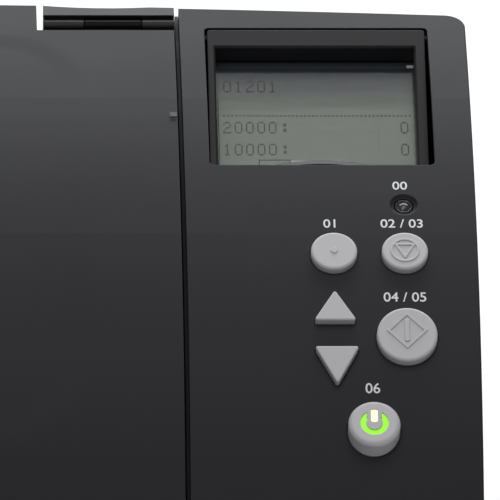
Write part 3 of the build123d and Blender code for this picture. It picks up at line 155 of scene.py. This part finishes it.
def grained(name, colour, roughness, grain=0.35, depth=0.02, mottle=0.08, form=None, gloss_level=0.5):
    """A moulded surface: fine grain, faint mottling, and a painted highlight that makes softened edges a
    little lighter.
    """
    material, tree, shader = new_material(name)
    link = tree.links.new
    where = node(tree, "ShaderNodeTexCoord")
    fine = node(tree, "ShaderNodeTexNoise", Scale=1 / (grain * MM), Detail=2.0, Roughness=0.6)
    broad = node(tree, "ShaderNodeTexNoise", Scale=28.0, Detail=4.0, Roughness=0.55)
    link(where.outputs["Object"], fine.inputs["Vector"])
    link(where.outputs["Object"], broad.inputs["Vector"])
    edge = node(tree, "ShaderNodeBevel", samples=4, Radius=SOFT_EDGE * MM)
    bump = node(tree, "ShaderNodeBump", Strength=0.6, Distance=depth * MM)
    link(fine.outputs["Fac"], bump.inputs["Height"])
    base_normal = edge.outputs["Normal"]
    if form is not None:
        height, rise = form(tree)
        shaped = node(tree, "ShaderNodeBump", Strength=1.0, Distance=rise * MM)
        link(height, shaped.inputs["Height"])
        link(base_normal, shaped.inputs["Normal"])
        base_normal = shaped.outputs["Normal"]
    link(base_normal, bump.inputs["Normal"])
    link(bump.outputs["Normal"], shader.inputs["Normal"])
    # Painted highlight: where the softened edge's normal turns away from the true face, the colour is mixed
    # towards a lighter one.
    geometry = node(tree, "ShaderNodeNewGeometry")
    facing = node(tree, "ShaderNodeVectorMath", operation="DOT_PRODUCT")
    link(edge.outputs["Normal"], facing.inputs[0])
    link(geometry.outputs["True Normal"], facing.inputs[1])
    edge_highlight = node(tree, "ShaderNodeMapRange")
    edge_highlight.inputs["From Min"].default_value = 0.995
    edge_highlight.inputs["From Max"].default_value = 0.8
    edge_highlight.inputs["To Max"].default_value = 0.35
    link(facing.outputs["Value"], edge_highlight.inputs["Value"])
    spread = node(tree, "ShaderNodeMapRange")
    spread.inputs["From Min"].default_value = 0.3
    spread.inputs["From Max"].default_value = 0.7
    spread.inputs["To Min"].default_value = 1.0 - mottle
    spread.inputs["To Max"].default_value = 1.0 + mottle
    link(broad.outputs["Fac"], spread.inputs["Value"])
    tint = node(tree, "ShaderNodeVectorMath", operation="SCALE")
    tint.inputs[0].default_value = colour[:3]
    link(spread.outputs["Result"], tint.inputs["Scale"])
    mix = node(tree, "ShaderNodeMix", data_type="RGBA")
    light = [min(1.0, value * 1.7 + 0.01) for value in colour[:3]] + [1.0]
    mix.inputs[MIX_SECOND].default_value = light
    link(tint.outputs["Vector"], mix.inputs[MIX_FIRST])
    link(edge_highlight.outputs["Result"], mix.inputs[MIX_FACTOR])
    link(mix.outputs[MIX_RESULT], shader.inputs["Base Color"])
    gloss = node(tree, "ShaderNodeMapRange")
    gloss.inputs["To Min"].default_value = roughness - 0.05
    gloss.inputs["To Max"].default_value = roughness + 0.05
    link(broad.outputs["Fac"], gloss.inputs["Value"])
    link(gloss.outputs["Result"], shader.inputs["Roughness"])
    shader.inputs["Specular IOR Level"].default_value = gloss_level
    return material


def repaint(material, mask, colour):
    """Lay another colour over a material where a mask says."""
    tree = material.node_tree
    shader = tree.nodes["Principled BSDF"]
    over = node(tree, "ShaderNodeMix", data_type="RGBA")
    tree.links.new(mask(tree), over.inputs[MIX_FACTOR])
    tree.links.new(shader.inputs["Base Color"].links[0].from_socket, over.inputs[MIX_FIRST])
    over.inputs[MIX_SECOND].default_value = colour
    tree.links.new(over.outputs[MIX_RESULT], shader.inputs["Base Color"])


# How finely the brush lines repeat along each axis
BRUSH_LINES = (40.0, 2500.0, 2500.0)


def brushed(name, colour, roughness):
    """Sheet or turned steel with fine brush lines along X."""
    material, tree, shader = new_material(name)
    link = tree.links.new
    where = node(tree, "ShaderNodeTexCoord")
    stretch = node(tree, "ShaderNodeMapping")
    stretch.inputs["Scale"].default_value = BRUSH_LINES
    lines = node(tree, "ShaderNodeTexNoise", Scale=1.0, Detail=3.0)
    link(where.outputs["Object"], stretch.inputs["Vector"])
    link(stretch.outputs["Vector"], lines.inputs["Vector"])
    edge = node(tree, "ShaderNodeBevel", samples=4, Radius=0.2 * MM)
    bump = node(tree, "ShaderNodeBump", Strength=0.5, Distance=0.01 * MM)
    link(lines.outputs["Fac"], bump.inputs["Height"])
    link(edge.outputs["Normal"], bump.inputs["Normal"])
    link(bump.outputs["Normal"], shader.inputs["Normal"])
    ramp = node(tree, "ShaderNodeMapRange")
    ramp.inputs["To Min"].default_value = roughness - 0.08
    ramp.inputs["To Max"].default_value = roughness + 0.12
    link(lines.outputs["Fac"], ramp.inputs["Value"])
    link(ramp.outputs["Result"], shader.inputs["Roughness"])
    shader.inputs["Base Color"].default_value = colour
    shader.inputs["Metallic"].default_value = 1.0
    return material


# The lit bar in the power mark, as limits of X and Y in metres
BAR_X = (0.1957, 0.1981)
BAR_Y = 0.0443


def lit(name, colour, strength, bar):
    """A lit surface, slightly uneven, with a brighter bar at the middle of the mark."""
    material, tree, shader = new_material(name)
    link = tree.links.new
    across, back, _, place = axis_values(tree)
    cloud = node(tree, "ShaderNodeTexNoise", Scale=900.0, Detail=1.0)
    power = node(tree, "ShaderNodeMapRange")
    power.inputs["To Min"].default_value = strength * 0.8
    power.inputs["To Max"].default_value = strength * 1.2
    link(place, cloud.inputs["Vector"])
    link(cloud.outputs["Fac"], power.inputs["Value"])
    link(power.outputs["Result"], shader.inputs["Emission Strength"])
    inside = maths(tree, "MULTIPLY", maths(tree, "GREATER_THAN", across, BAR_X[0]),
                   maths(tree, "LESS_THAN", across, BAR_X[1]))
    inside = maths(tree, "MULTIPLY", inside, maths(tree, "GREATER_THAN", back, BAR_Y))
    mix = node(tree, "ShaderNodeMix", data_type="RGBA")
    link(inside, mix.inputs[MIX_FACTOR])
    mix.inputs[MIX_FIRST].default_value = colour
    mix.inputs[MIX_SECOND].default_value = bar
    link(mix.outputs[MIX_RESULT], shader.inputs["Emission Color"])
    link(mix.outputs[MIX_RESULT], shader.inputs["Base Color"])
    shader.inputs["Roughness"].default_value = 0.4
    return material


def window(name, tint, gloss):
    """Clear plastic: what lies behind shows through a tint, under a sharp sheen."""
    material, tree, shader = new_material(name)
    link = tree.links.new
    clear = node(tree, "ShaderNodeBsdfTransparent", Color=tint)
    sheen = node(tree, "ShaderNodeBsdfGlossy", Roughness=0.08)
    sheen.inputs["Color"].default_value = (1, 1, 1, 1)
    where = node(tree, "ShaderNodeTexCoord")
    smear = node(tree, "ShaderNodeTexNoise", Scale=60.0, Detail=3.0)
    rough = node(tree, "ShaderNodeMapRange")
    rough.inputs["To Min"].default_value = 0.04
    rough.inputs["To Max"].default_value = 0.16
    fresnel = node(tree, "ShaderNodeFresnel", IOR=gloss)
    mix = node(tree, "ShaderNodeMixShader")
    link(where.outputs["Object"], smear.inputs["Vector"])
    link(smear.outputs["Fac"], rough.inputs["Value"])
    link(rough.outputs["Result"], sheen.inputs["Roughness"])
    link(fresnel.outputs["Fac"], mix.inputs["Fac"])
    link(clear.outputs["BSDF"], mix.inputs[1])
    link(sheen.outputs["BSDF"], mix.inputs[2])
    link(mix.outputs["Shader"], tree.nodes["Material Output"].inputs["Surface"])
    tree.nodes.remove(shader)
    return material


# A shallow field on the cover, a rounded rectangle in plan, whose edge is a soft step
FIELD_MIDDLE = (-17.65, 121.0)
FIELD_HALF = (125.35, 74.0)
FIELD_CORNER = 24.0
FIELD_EDGE = 5.0
FIELD_DEPTH = 0.32


def cover_field(tree):
    """The height of the soft field on the cover, and its depth."""
    across, back, _, _ = axis_values(tree)
    outside = []
    for value, middle, half in zip((across, back), FIELD_MIDDLE, FIELD_HALF):
        away = maths(tree, "ABSOLUTE", maths(tree, "SUBTRACT", value, middle * MM))
        away = maths(tree, "SUBTRACT", away, (half - FIELD_CORNER) * MM)
        outside.append(maths(tree, "MAXIMUM", away, 0.0))
    squares = [maths(tree, "MULTIPLY", value, value) for value in outside]
    away = maths(tree, "SQRT", maths(tree, "ADD", *squares))
    return ramp_between(
        tree, away, (FIELD_CORNER - FIELD_EDGE) * MM, (FIELD_CORNER + FIELD_EDGE) * MM
    ), FIELD_DEPTH


# Places painted another colour, as limits in millimetres: the ledges under the gaps beside the cover (painted
# shade), the small raised mark on it (painted highlight), the display's fade below its upper edge (painted
# shadow and reflection), and the knuckles of the hinges (painted near black as shade in the slot)
SHADED_LEDGES = ((140.0, 141.15), (-176.45, -175.3))
MARK_ACROSS, MARK_BACK = (137.25, 139.45), (155.5, 158.9)
FADE_LOW, FADE_HIGH = 27.0, 8.5
KNUCKLE_BACK, KNUCKLE_TOP = 209.2, 309.2


def between(tree, value, limits):
    """One where a value lies between two limits in millimetres, else nought."""
    low, high = limits
    return maths(tree, "MULTIPLY", maths(tree, "GREATER_THAN", value, low * MM),
                 maths(tree, "LESS_THAN", value, high * MM))


def ledge_shade_mask(tree):
    """Where the fixed top has its ledges under the gaps beside the cover, painted near black as shade in the
    gaps.
    """
    across, _, _, _ = axis_values(tree)
    return maths(tree, "ADD", *(between(tree, across, limits) for limits in SHADED_LEDGES))


def mark_highlight_mask(tree):
    """Where the small raised mark stands on the cover, painted lighter as a highlight on its top."""
    across, back, _, _ = axis_values(tree)
    return maths(tree, "MULTIPLY", between(tree, across, MARK_ACROSS), between(tree, back, MARK_BACK))


def display_top_shade(tree):
    """How strongly a painted shadow and bluish reflection from the recess above darken the display's panel
    towards its upper edge.
    """
    _, back, height, _ = axis_values(tree)
    down = maths(tree, "ADD",
                 maths(tree, "MULTIPLY", back, math.cos(DISPLAY_TILT)),
                 maths(tree, "MULTIPLY", height, math.sin(DISPLAY_TILT)))
    top = (DISPLAY_ORIGIN.y * math.cos(DISPLAY_TILT) + DISPLAY_ORIGIN.z * math.sin(DISPLAY_TILT)) * MM
    return ramp_between(tree, down, top - FADE_LOW * MM, top - FADE_HIGH * MM)


def hinge_shadow(tree):
    """Where the hinge blocks' knuckles are painted near black as shade in the slot under the block."""
    _, back, height, _ = axis_values(tree)
    return maths(
        tree, "MULTIPLY", maths(tree, "LESS_THAN", back, KNUCKLE_BACK * MM),
        maths(tree, "LESS_THAN", height, KNUCKLE_TOP * MM)
    )


shell = grained("shell_plastic", SHELL, SHELL_ROUGHNESS, gloss_level=SHELL_GLOSS)
cover_shell = grained("cover_plastic", SHELL, SHELL_ROUGHNESS, form=cover_field, gloss_level=SHELL_GLOSS)
# Painted highlight: the raised mark on the cover is painted lighter, standing in for light on its top
repaint(cover_shell, mark_highlight_mask, rgba(84, 84, 88))
# Painted shade: the ledges in the gaps beside the cover are painted near black on the panel and left strip
ledge_shaded_shell = grained("ledge_shaded_plastic", SHELL, SHELL_ROUGHNESS, gloss_level=SHELL_GLOSS)
repaint(ledge_shaded_shell, ledge_shade_mask, rgba(8, 8, 9))
dark_shell = grained("dark_plastic", rgba(30, 29, 31), 0.45, grain=0.3, gloss_level=0.2)
frame_plastic = grained("frame_plastic", rgba(36, 35, 37), 0.42, grain=0.3, depth=0.01, gloss_level=0.2)
# Painted shade: the cover's knuckles are painted near black where they sit in the shadowed slot
knuckle_shade = grained("shaded_knuckle_plastic", rgba(4, 4, 4), 0.32, grain=0.3, depth=0.004, gloss_level=0.05)
tray_grey = grained("tray_plastic", rgba(62, 61, 64), 0.52)
hinge_grey = grained("hinge_plastic", rgba(34, 34, 36), 0.45, grain=0.3, depth=0.01, gloss_level=0.2)
# Painted shade: the hinge blocks' knuckles are painted near black where the slot lies in shadow
repaint(hinge_grey, hinge_shadow, rgba(4, 4, 4))
button_grey = grained("button_plastic", rgba(177, 176, 178), 0.45, grain=0.3, depth=0.006, mottle=0.02)
bush_white = grained("bush_plastic", rgba(214, 210, 200), 0.4, depth=0.006)
board_green = grained("board_lacquer", rgba(26, 84, 52), 0.35, grain=0.6, depth=0.01)
display_back = grained("display_panel", rgba(186, 190, 188), 0.6, grain=1.5, depth=0.0005, mottle=0.03)
# Painted shadow and reflection: the display's panel is painted darker and bluer towards its upper edge
repaint(display_back, display_top_shade, rgba(74, 82, 104))
lamp_lens = grained("lamp_plastic", rgba(46, 42, 40), 0.15, depth=0.002)
rubber = grained("rubber_grain", rgba(38, 38, 39), 0.75, grain=0.5, depth=0.04, mottle=0.12)
steel = brushed("sheet_steel", rgba(178, 180, 184), 0.34)
display_glass = window("display_window_glass", (0.86, 0.88, 0.84, 1), 1.3)
power_light = lit("power_light", rgba(120, 205, 6), 1.0, bar=rgba(236, 250, 176))
ink_white = grained("label_ink", rgba(222, 222, 226), 0.5, grain=0.2, depth=0.004)
lcd_ink = grained("display_ink", rgba(88, 90, 84), 0.6, grain=1.5, depth=0.0005)
lcd_faint = grained("display_faint_ink", rgba(44, 48, 52), 0.6, grain=1.5, depth=0.0005)
bezel = grained("display_bezel", rgba(50, 52, 58), 0.5, grain=0.3, depth=0.002)
bright_tab = grained("display_tab", rgba(225, 226, 228), 0.5, grain=0.3, depth=0.002)
pulley_black = grained("pulley_plastic", rgba(28, 28, 30), 0.4, grain=0.3, depth=0.006)
bright_steel = brushed("turned_steel", rgba(205, 206, 210), 0.22)
pin_steel = brushed("blackened_steel", rgba(20, 20, 22), 0.5)

SLOT_LOOKS = {
    "shell": shell,
    "dark_shell": dark_shell,
    "tray_grey": tray_grey,
    "hinge_grey": hinge_grey,
    "button_grey": button_grey,
    "bush": bush_white,
    "circuit_board": board_green,
    "display_back": display_back,
    "display_glass": display_glass,
    "lamp_lens": lamp_lens,
    "power_light": power_light,
    "steel": steel,
    "rubber": rubber,
}
for entry in frame["record"]["subparts"]:
    made = nodes[entry["node"]]
    made.data.materials.clear()
    made.data.materials.append(SLOT_LOOKS[entry["material_slot"]])
nodes["top_cover"].data.materials[0] = cover_shell
for name in ("operator_panel", "left_strip"):
    nodes[name].data.materials[0] = ledge_shaded_shell
nodes["hinge_pins"].data.materials[0] = pin_steel
nodes["cover_knuckles"].data.materials[0] = knuckle_shade
nodes["display_frame"].data.materials[0] = frame_plastic


# Pieces added to the frame

def add_piece(name, mesh, material, body, place=None):
    """Put a mesh in the scene as a piece that rides on a body."""
    piece = bpy.data.objects.new(name, mesh)
    bpy.context.scene.collection.objects.link(piece)
    if place is not None:
        piece.matrix_world = place
    mesh.materials.clear()
    mesh.materials.append(material)
    bpy.context.view_layer.update()
    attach(piece, body)
    return piece


# Height, boldness and thickness of the numbers, in millimetres
LABEL_SIZE = 4.7
LABEL_BOLD = 0.05
LABEL_RAISE = 0.02


def text_mesh(name, words):
    """Flat raised numerals, centred."""
    curve = bpy.data.curves.new(name, "FONT")
    curve.body = words
    curve.size = LABEL_SIZE * MM
    curve.align_x = "CENTER"
    curve.align_y = "CENTER"
    curve.extrude = LABEL_RAISE * MM
    curve.offset = LABEL_BOLD * MM
    curve.resolution_u = 6
    holder = bpy.data.objects.new(name, curve)
    bpy.context.scene.collection.objects.link(holder)
    bpy.context.view_layer.update()
    mesh = bpy.data.meshes.new_from_object(holder.evaluated_get(bpy.context.evaluated_depsgraph_get()))
    bpy.data.objects.remove(holder)
    bpy.data.curves.remove(curve)
    mesh.name = name
    return mesh


def lathe(name, profile, steps=64):
    """A turned mesh about its own Z, from places given by radius and height in millimetres."""
    work = bmesh.new()
    rings = []
    for radius, height in profile:
        if radius < 1e-6:
            rings.append([work.verts.new((0, 0, height * MM))])
            continue
        turns = [2 * math.pi * step / steps for step in range(steps)]
        rings.append([work.verts.new((radius * math.cos(a) * MM, radius * math.sin(a) * MM, height * MM))
                      for a in turns])
    for low_ring, high_ring in zip(rings, rings[1:]):
        for step in range(steps):
            corners = [low_ring[step % len(low_ring)], low_ring[(step + 1) % len(low_ring)],
                       high_ring[(step + 1) % len(high_ring)], high_ring[step % len(high_ring)]]
            corners = list(dict.fromkeys(corners))
            if len(corners) > 2:
                work.faces.new(corners)
    bmesh.ops.recalc_face_normals(work, faces=work.faces)
    mesh = bpy.data.meshes.new(name)
    work.to_mesh(mesh)
    work.free()
    for face in mesh.polygons:
        face.use_smooth = True
    mesh.set_sharp_from_angle(angle=math.radians(35))
    return mesh


# Plain numbers beside the lamp and the buttons: name, number, x and distance along the top
LABELS = (
    ("lamp_number", "00", 206.9, 90.4),
    ("menu_number", "01", 185.3, 106.0),
    ("stop_number", "02 / 03", 207.1, 106.0),
    ("scan_number", "04 / 05", 207.3, 134.0),
    ("power_number", "06", 196.8, 165.4),
)
for name, words, x, along in LABELS:
    mesh = text_mesh(name, words)
    piece = add_piece(name, mesh, ink_white, "base", arch_place(x, along, 0.0))

# What the display shows: dot figures in rows, a dotted line and a key's outline with a bar beside it
FIGURES = {
    "0": ("01110", "10001", "10001", "10001", "10001", "10001", "01110"),
    "1": ("00100", "01100", "00100", "00100", "00100", "00100", "01110"),
    "2": ("01110", "10001", "00001", "00110", "01000", "10000", "11111"),
    ":": ("00000", "00110", "00110", "00000", "00110", "00110", "00000"),
}


def display_place(below):
    """A matrix on the display, at a depth below its face in millimetres."""
    right = Vector((1, 0, 0))
    normal = Vector((0, -math.sin(DISPLAY_TILT), math.cos(DISPLAY_TILT)))
    up = normal.cross(right)
    return frame_matrix((DISPLAY_ORIGIN - normal * below) * MM, right, up, normal)


PLATE = 0.04


def plates(name, boxes):
    """One mesh of thin flat plates, each given by its corners in millimetres."""
    work = bmesh.new()
    for x0, y0, x1, y1 in boxes:
        made = bmesh.ops.create_cube(work, size=1.0)
        middle = Vector(((x0 + x1) / 2, (y0 + y1) / 2, 0)) * MM
        size = Vector((x1 - x0, y1 - y0, PLATE)) * MM
        bmesh.ops.scale(work, vec=size, verts=made["verts"])
        bmesh.ops.translate(work, vec=middle, verts=made["verts"])
    mesh = bpy.data.meshes.new(name)
    work.to_mesh(mesh)
    work.free()
    return mesh


# A dot's size and pitch, and the width of a figure, in millimetres
DOT_WIDE = 0.44
DOT_HIGH = 0.62
PITCH_WIDE = 0.5
PITCH_HIGH = 0.66
CELL = 3.52


def figure_boxes(words, left, top):
    """The dots of a row of figures."""
    boxes = []
    for place, figure in enumerate(words):
        for row, bits in enumerate(FIGURES.get(figure, ())):
            for column, bit in enumerate(bits):
                if bit == "1":
                    x = left + place * CELL + column * PITCH_WIDE
                    y = top - row * PITCH_HIGH
                    boxes.append((x, y - DOT_HIGH, x + DOT_WIDE, y))
    return boxes


def outline_boxes(left, low, right_end, high, line):
    """The four sides of a thin rectangle."""
    return [
        (left, high - line, right_end, high),
        (left, low, right_end, low + line),
        (left, low, left + line, high),
        (right_end - line, low, right_end, high),
    ]


# Depths below the display's face, in millimetres
FIGURE_DEPTH, BEZEL_DEPTH, TAB_DEPTH = 8.37, 8.3, 8.2
ink = figure_boxes("20000:", -29.1, -29.3) + figure_boxes("0", 25.8, -29.3)
ink += figure_boxes("10000:", -29.2, -37.8) + figure_boxes("0", 25.8, -37.8)
faint = figure_boxes("01201", -28.8, -13.3) + outline_boxes(-18.4, -49.5, -8.5, -44.0, 0.3)
line = [(-29.0 + 1.25 * step, -27.3, -28.4 + 1.25 * step, -26.7) for step in range(47)]
place = display_place(FIGURE_DEPTH)
for name, boxes, look in (
    ("display_figures", ink, lcd_ink),
    ("display_faint_figures", faint, lcd_faint),
    ("display_dotted_line", line, lcd_ink),
    ("display_key_bar", [(-8.5, -45.2, 7.0, -44.4)], bright_tab),
):
    piece = add_piece(name, plates(name, boxes), look, "display", place)

# Bezel round the display's panel, under the window, with a small bright tab
LCD_LEFT, LCD_RIGHT, LCD_TOP, LCD_LOW = -30.3, 30.5, -8.9, -56.5
BEZEL_SIDE, BEZEL_TOP = 31.2, -6.0
bands = [
    (-BEZEL_SIDE, LCD_TOP, BEZEL_SIDE, BEZEL_TOP),
    (-BEZEL_SIDE, LCD_LOW, LCD_LEFT, LCD_TOP),
    (LCD_RIGHT, LCD_LOW, BEZEL_SIDE, LCD_TOP),
]
piece = add_piece("display_bezel", plates("display_bezel", bands), bezel, "display",
                  display_place(BEZEL_DEPTH))
tab_boxes = [(28.3, -8.5, 30.4, -7.4)]
piece = add_piece("display_bright_tab", plates("display_bright_tab", tab_boxes), bright_tab, "display",
                  display_place(TAB_DEPTH))

# Domed lens of the check lamp in its dark collar
lens_profile = ((2.75, -6.0), (2.75, -1.0), (2.6, -0.75), (2.2, -0.75), (1.95, -1.15), (1.7, -0.95),
                (1.2, -0.6), (0.6, -0.42), (0.0, -0.38))
LAMP = (207.9, 98.1)
piece = add_piece("check_lens", lathe("check_lens", lens_profile), lamp_lens, "base", arch_place(*LAMP))
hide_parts("check_lamp")

# Turned rollers: steel shaft, rubber tyres with grooves, and toothed pulleys
ALONG_X = ((0, 1, 0), (0, 0, 1), (1, 0, 0))
MIDDLE_X = -17.65
WIDE_TYRES = (-125.0, -75.0, 75.0, 125.0)
NARROW_TYRES = (-32.0, 32.0)
TYRE = 30.0
INNER_PULLEY, OUTER_PULLEY = (-190.5, -183.5), (-198.5, -191.5)


def along_x(y, z):
    """A matrix whose Z runs along X, through a place in Y and Z in millimetres."""
    return frame_matrix(Vector((0, y, z)) * MM, *(Vector(axis) for axis in ALONG_X))


def join_meshes(name, parts):
    """One mesh made of several."""
    work = bmesh.new()
    for part in parts:
        work.from_mesh(part)
        bpy.data.meshes.remove(part)
    mesh = bpy.data.meshes.new(name)
    work.to_mesh(mesh)
    work.free()
    mesh.set_sharp_from_angle(angle=math.radians(35))
    return mesh


def shaft_mesh(name, start, end, radius, inner):
    """A turned shaft with bevelled ends, a ring groove near the far end, and the cores of its tyres."""
    profile = [(0, start), (radius - 0.5, start), (radius, start + 0.5)]
    for left, right, core in inner:
        profile += [(radius, left), (core, left), (core, right), (radius, right)]
    low = radius - 0.5
    profile += [(radius, end - 2.0), (low, end - 2.0), (low, end - 1.4), (radius, end - 1.4),
                (radius, end - 0.5), (low, end), (0, end)]
    return lathe(name, profile)


def tyre_mesh(name, middle, radius, core):
    """A rubber tyre with rounded edges and shallow grooves."""
    half = TYRE / 2
    profile = [(core, -half), (radius - 0.8, -half), (radius - 0.2, -half + 0.3), (radius, -half + 0.9)]
    low = radius - 0.4
    for groove in range(-5, 6):
        at = groove * 2.4
        profile += [(radius, at - 0.35), (low, at - 0.2), (low, at + 0.2), (radius, at + 0.35)]
    profile += [(radius, half - 0.9), (radius - 0.2, half - 0.3), (radius - 0.8, half), (core, half)]
    return lathe(name, [(r, middle + at) for r, at in profile])


def pulley_mesh(name, span, radius):
    """A toothed pulley with a short hub on one side."""
    work = bmesh.new()
    teeth = max(12, round(2 * math.pi * radius / 2.0))
    outline = []
    for tooth in range(teeth):
        for part, reach in ((0.0, radius), (0.45, radius), (0.55, radius - 0.5), (0.95, radius - 0.5)):
            turn = 2 * math.pi * (tooth + part) / teeth
            outline.append((reach * math.cos(turn) * MM, reach * math.sin(turn) * MM))
    low_ring = [work.verts.new((x, y, span[0] * MM)) for x, y in outline]
    high_ring = [work.verts.new((x, y, span[1] * MM)) for x, y in outline]
    for index in range(len(outline)):
        after = (index + 1) % len(outline)
        work.faces.new((low_ring[index], low_ring[after], high_ring[after], high_ring[index]))
    work.faces.new(low_ring[::-1])
    work.faces.new(high_ring)
    mesh = bpy.data.meshes.new(name)
    work.to_mesh(mesh)
    work.free()
    end = span[1]
    hub = lathe(name + "_hub", [(2.5, end + 1.6), (3.6, end + 1.6), (3.8, end + 1.4), (3.8, end)])
    return join_meshes(name, [mesh, hub])


def add_roller(name, body, y, z, radius, ends, tyres, pulleys, shaft=4.0):
    """A roller in place of its CAD node."""
    place = along_x(y, z)
    core = radius - 2.5
    spans = [(MIDDLE_X + tyre - TYRE / 2, MIDDLE_X + tyre + TYRE / 2, core) for tyre in tyres]
    piece = add_piece(f"{name}_shaft", shaft_mesh(name, *ends, shaft, spans), bright_steel, body, place)
    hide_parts(name)
    rubber_parts = [tyre_mesh(f"{name}_tyre", MIDDLE_X + tyre, radius, core) for tyre in tyres]
    piece = add_piece(f"{name}_tyres", join_meshes(name, rubber_parts), rubber, body, place)
    if pulleys:
        wheels = [pulley_mesh(f"{name}_pulley", span, 0.8 * radius) for span in pulleys]
        piece = add_piece(f"{name}_pulleys", join_meshes(name, wheels), pulley_black, body, place)


# Each roller: name, body, place in Y and Z, radius, ends, tyres, pulleys and, for the thin ones, shaft radius
FAR_END = 148.6
PINCH_ENDS = (-169.9, 134.7)
PINCH_SHAFT = 3.0
add_roller("pick_roller", "pick_roll", 0.0, 122.5, 12.0, (-198.5, FAR_END), NARROW_TYRES, (OUTER_PULLEY,))
add_roller("feed_roller", "feed_roll", 30.0, 124.15, 14.0, (-198.5, FAR_END), NARROW_TYRES,
           (INNER_PULLEY, OUTER_PULLEY))
add_roller("brake_roller", "brake_roll", 30.0, 98.85, 11.0, (-183.0, FAR_END), NARROW_TYRES, ())
add_roller("turn_roller", "turn_roll", 179.25, 175.0, 14.0, (-190.5, FAR_END), WIDE_TYRES, (INNER_PULLEY,))
add_roller("transport_roller", "transport_roll", 93.646, 219.162, 10.0, (-190.5, FAR_END), WIDE_TYRES,
           (INNER_PULLEY,))
add_roller("exit_roller", "exit_roll", 21.185, 185.244, 9.0, (-190.5, FAR_END), WIDE_TYRES, (INNER_PULLEY,))
add_roller("transport_pinch_roller", "transport_pinch", 86.116, 234.738, 7.0, PINCH_ENDS, WIDE_TYRES, (),
           PINCH_SHAFT)
add_roller("exit_pinch_roller", "exit_pinch", 14.091, 199.919, 7.0, PINCH_ENDS, WIDE_TYRES, (), PINCH_SHAFT)

# Floor, light and camera
FLOOR = 6.0
floor_mesh = bpy.data.meshes.new("studio_floor")
floor_corners = [(-FLOOR, -FLOOR, 0), (FLOOR, -FLOOR, 0), (FLOOR, FLOOR, 0), (-FLOOR, FLOOR, 0)]
floor_mesh.from_pydata(floor_corners, [], [(0, 1, 2, 3)])
floor = bpy.data.objects.new("studio_floor", floor_mesh)
bpy.context.scene.collection.objects.link(floor)
floor_look, floor_tree, floor_shader = new_material("studio_paper")
floor_shader.inputs["Base Color"].default_value = (0.9, 0.9, 0.905, 1)
floor_shader.inputs["Roughness"].default_value = 0.9
floor_mesh.materials.append(floor_look)

world = bpy.data.worlds.new("studio")
bpy.context.scene.world = world
world.use_nodes = True
world.node_tree.nodes["Background"].inputs["Color"].default_value = (0.93, 0.95, 1.0, 1)
world.node_tree.nodes["Background"].inputs["Strength"].default_value = 0.3


def area(name, place, aim, width, height, power, colour=(1, 1, 1)):
    """A soft light aimed at a point."""
    data = bpy.data.lights.new(name, "AREA")
    data.shape = "RECTANGLE"
    data.size = width
    data.size_y = height
    data.energy = power
    data.color = colour
    lamp = bpy.data.objects.new(name, data)
    bpy.context.scene.collection.objects.link(lamp)
    lamp.location = place
    lamp.rotation_euler = (Vector(aim) - Vector(place)).to_track_quat("-Z", "Y").to_euler()
    return lamp


area("back_light", (0.2, 3.4, 2.3), (0, 0, 0.25), 4.4, 1.8, 166, (0.96, 0.98, 1.0))
area("top_light", (0.3, 0.2, 3.4), (0, 0, 0.2), 2.0, 2.0, 30)
area("front_light", (-0.7, -1.6, 4.1), (0, 0, 0.2), 2.2, 1.6, 30)

# The photograph is a crop of a wider view, so the camera stands far off and looks slightly aside.
LENS_PIXELS = 14388.0
IMAGE_PIXELS = 500.0
SENSOR = 36.0
ELEVATION = math.radians(33.0)
CAMERA_PLACE = Vector((0.0, -3.5645, 2.6971))
OPTICAL_X, OPTICAL_Y = -276.54, 187.01
forward = Vector((0, math.cos(ELEVATION), -math.sin(ELEVATION)))
level_up = Vector((0, math.sin(ELEVATION), math.cos(ELEVATION)))
middle = IMAGE_PIXELS / 2
look = forward * LENS_PIXELS + Vector((1, 0, 0)) * (middle - OPTICAL_X) + level_up * (OPTICAL_Y - middle)
look.normalize()
right = (Vector((1, 0, 0)) - look * look.x).normalized()
camera_data = bpy.data.cameras.new("camera")
camera_data.sensor_width = SENSOR
camera_data.lens = LENS_PIXELS * SENSOR / IMAGE_PIXELS
camera_data.clip_end = 50.0
camera = bpy.data.objects.new("camera", camera_data)
bpy.context.scene.collection.objects.link(camera)
camera.matrix_world = frame_matrix(CAMERA_PLACE, right, right.cross(look), -look)
bpy.context.scene.camera = camera
bpy.context.scene.view_settings.view_transform = "Standard"
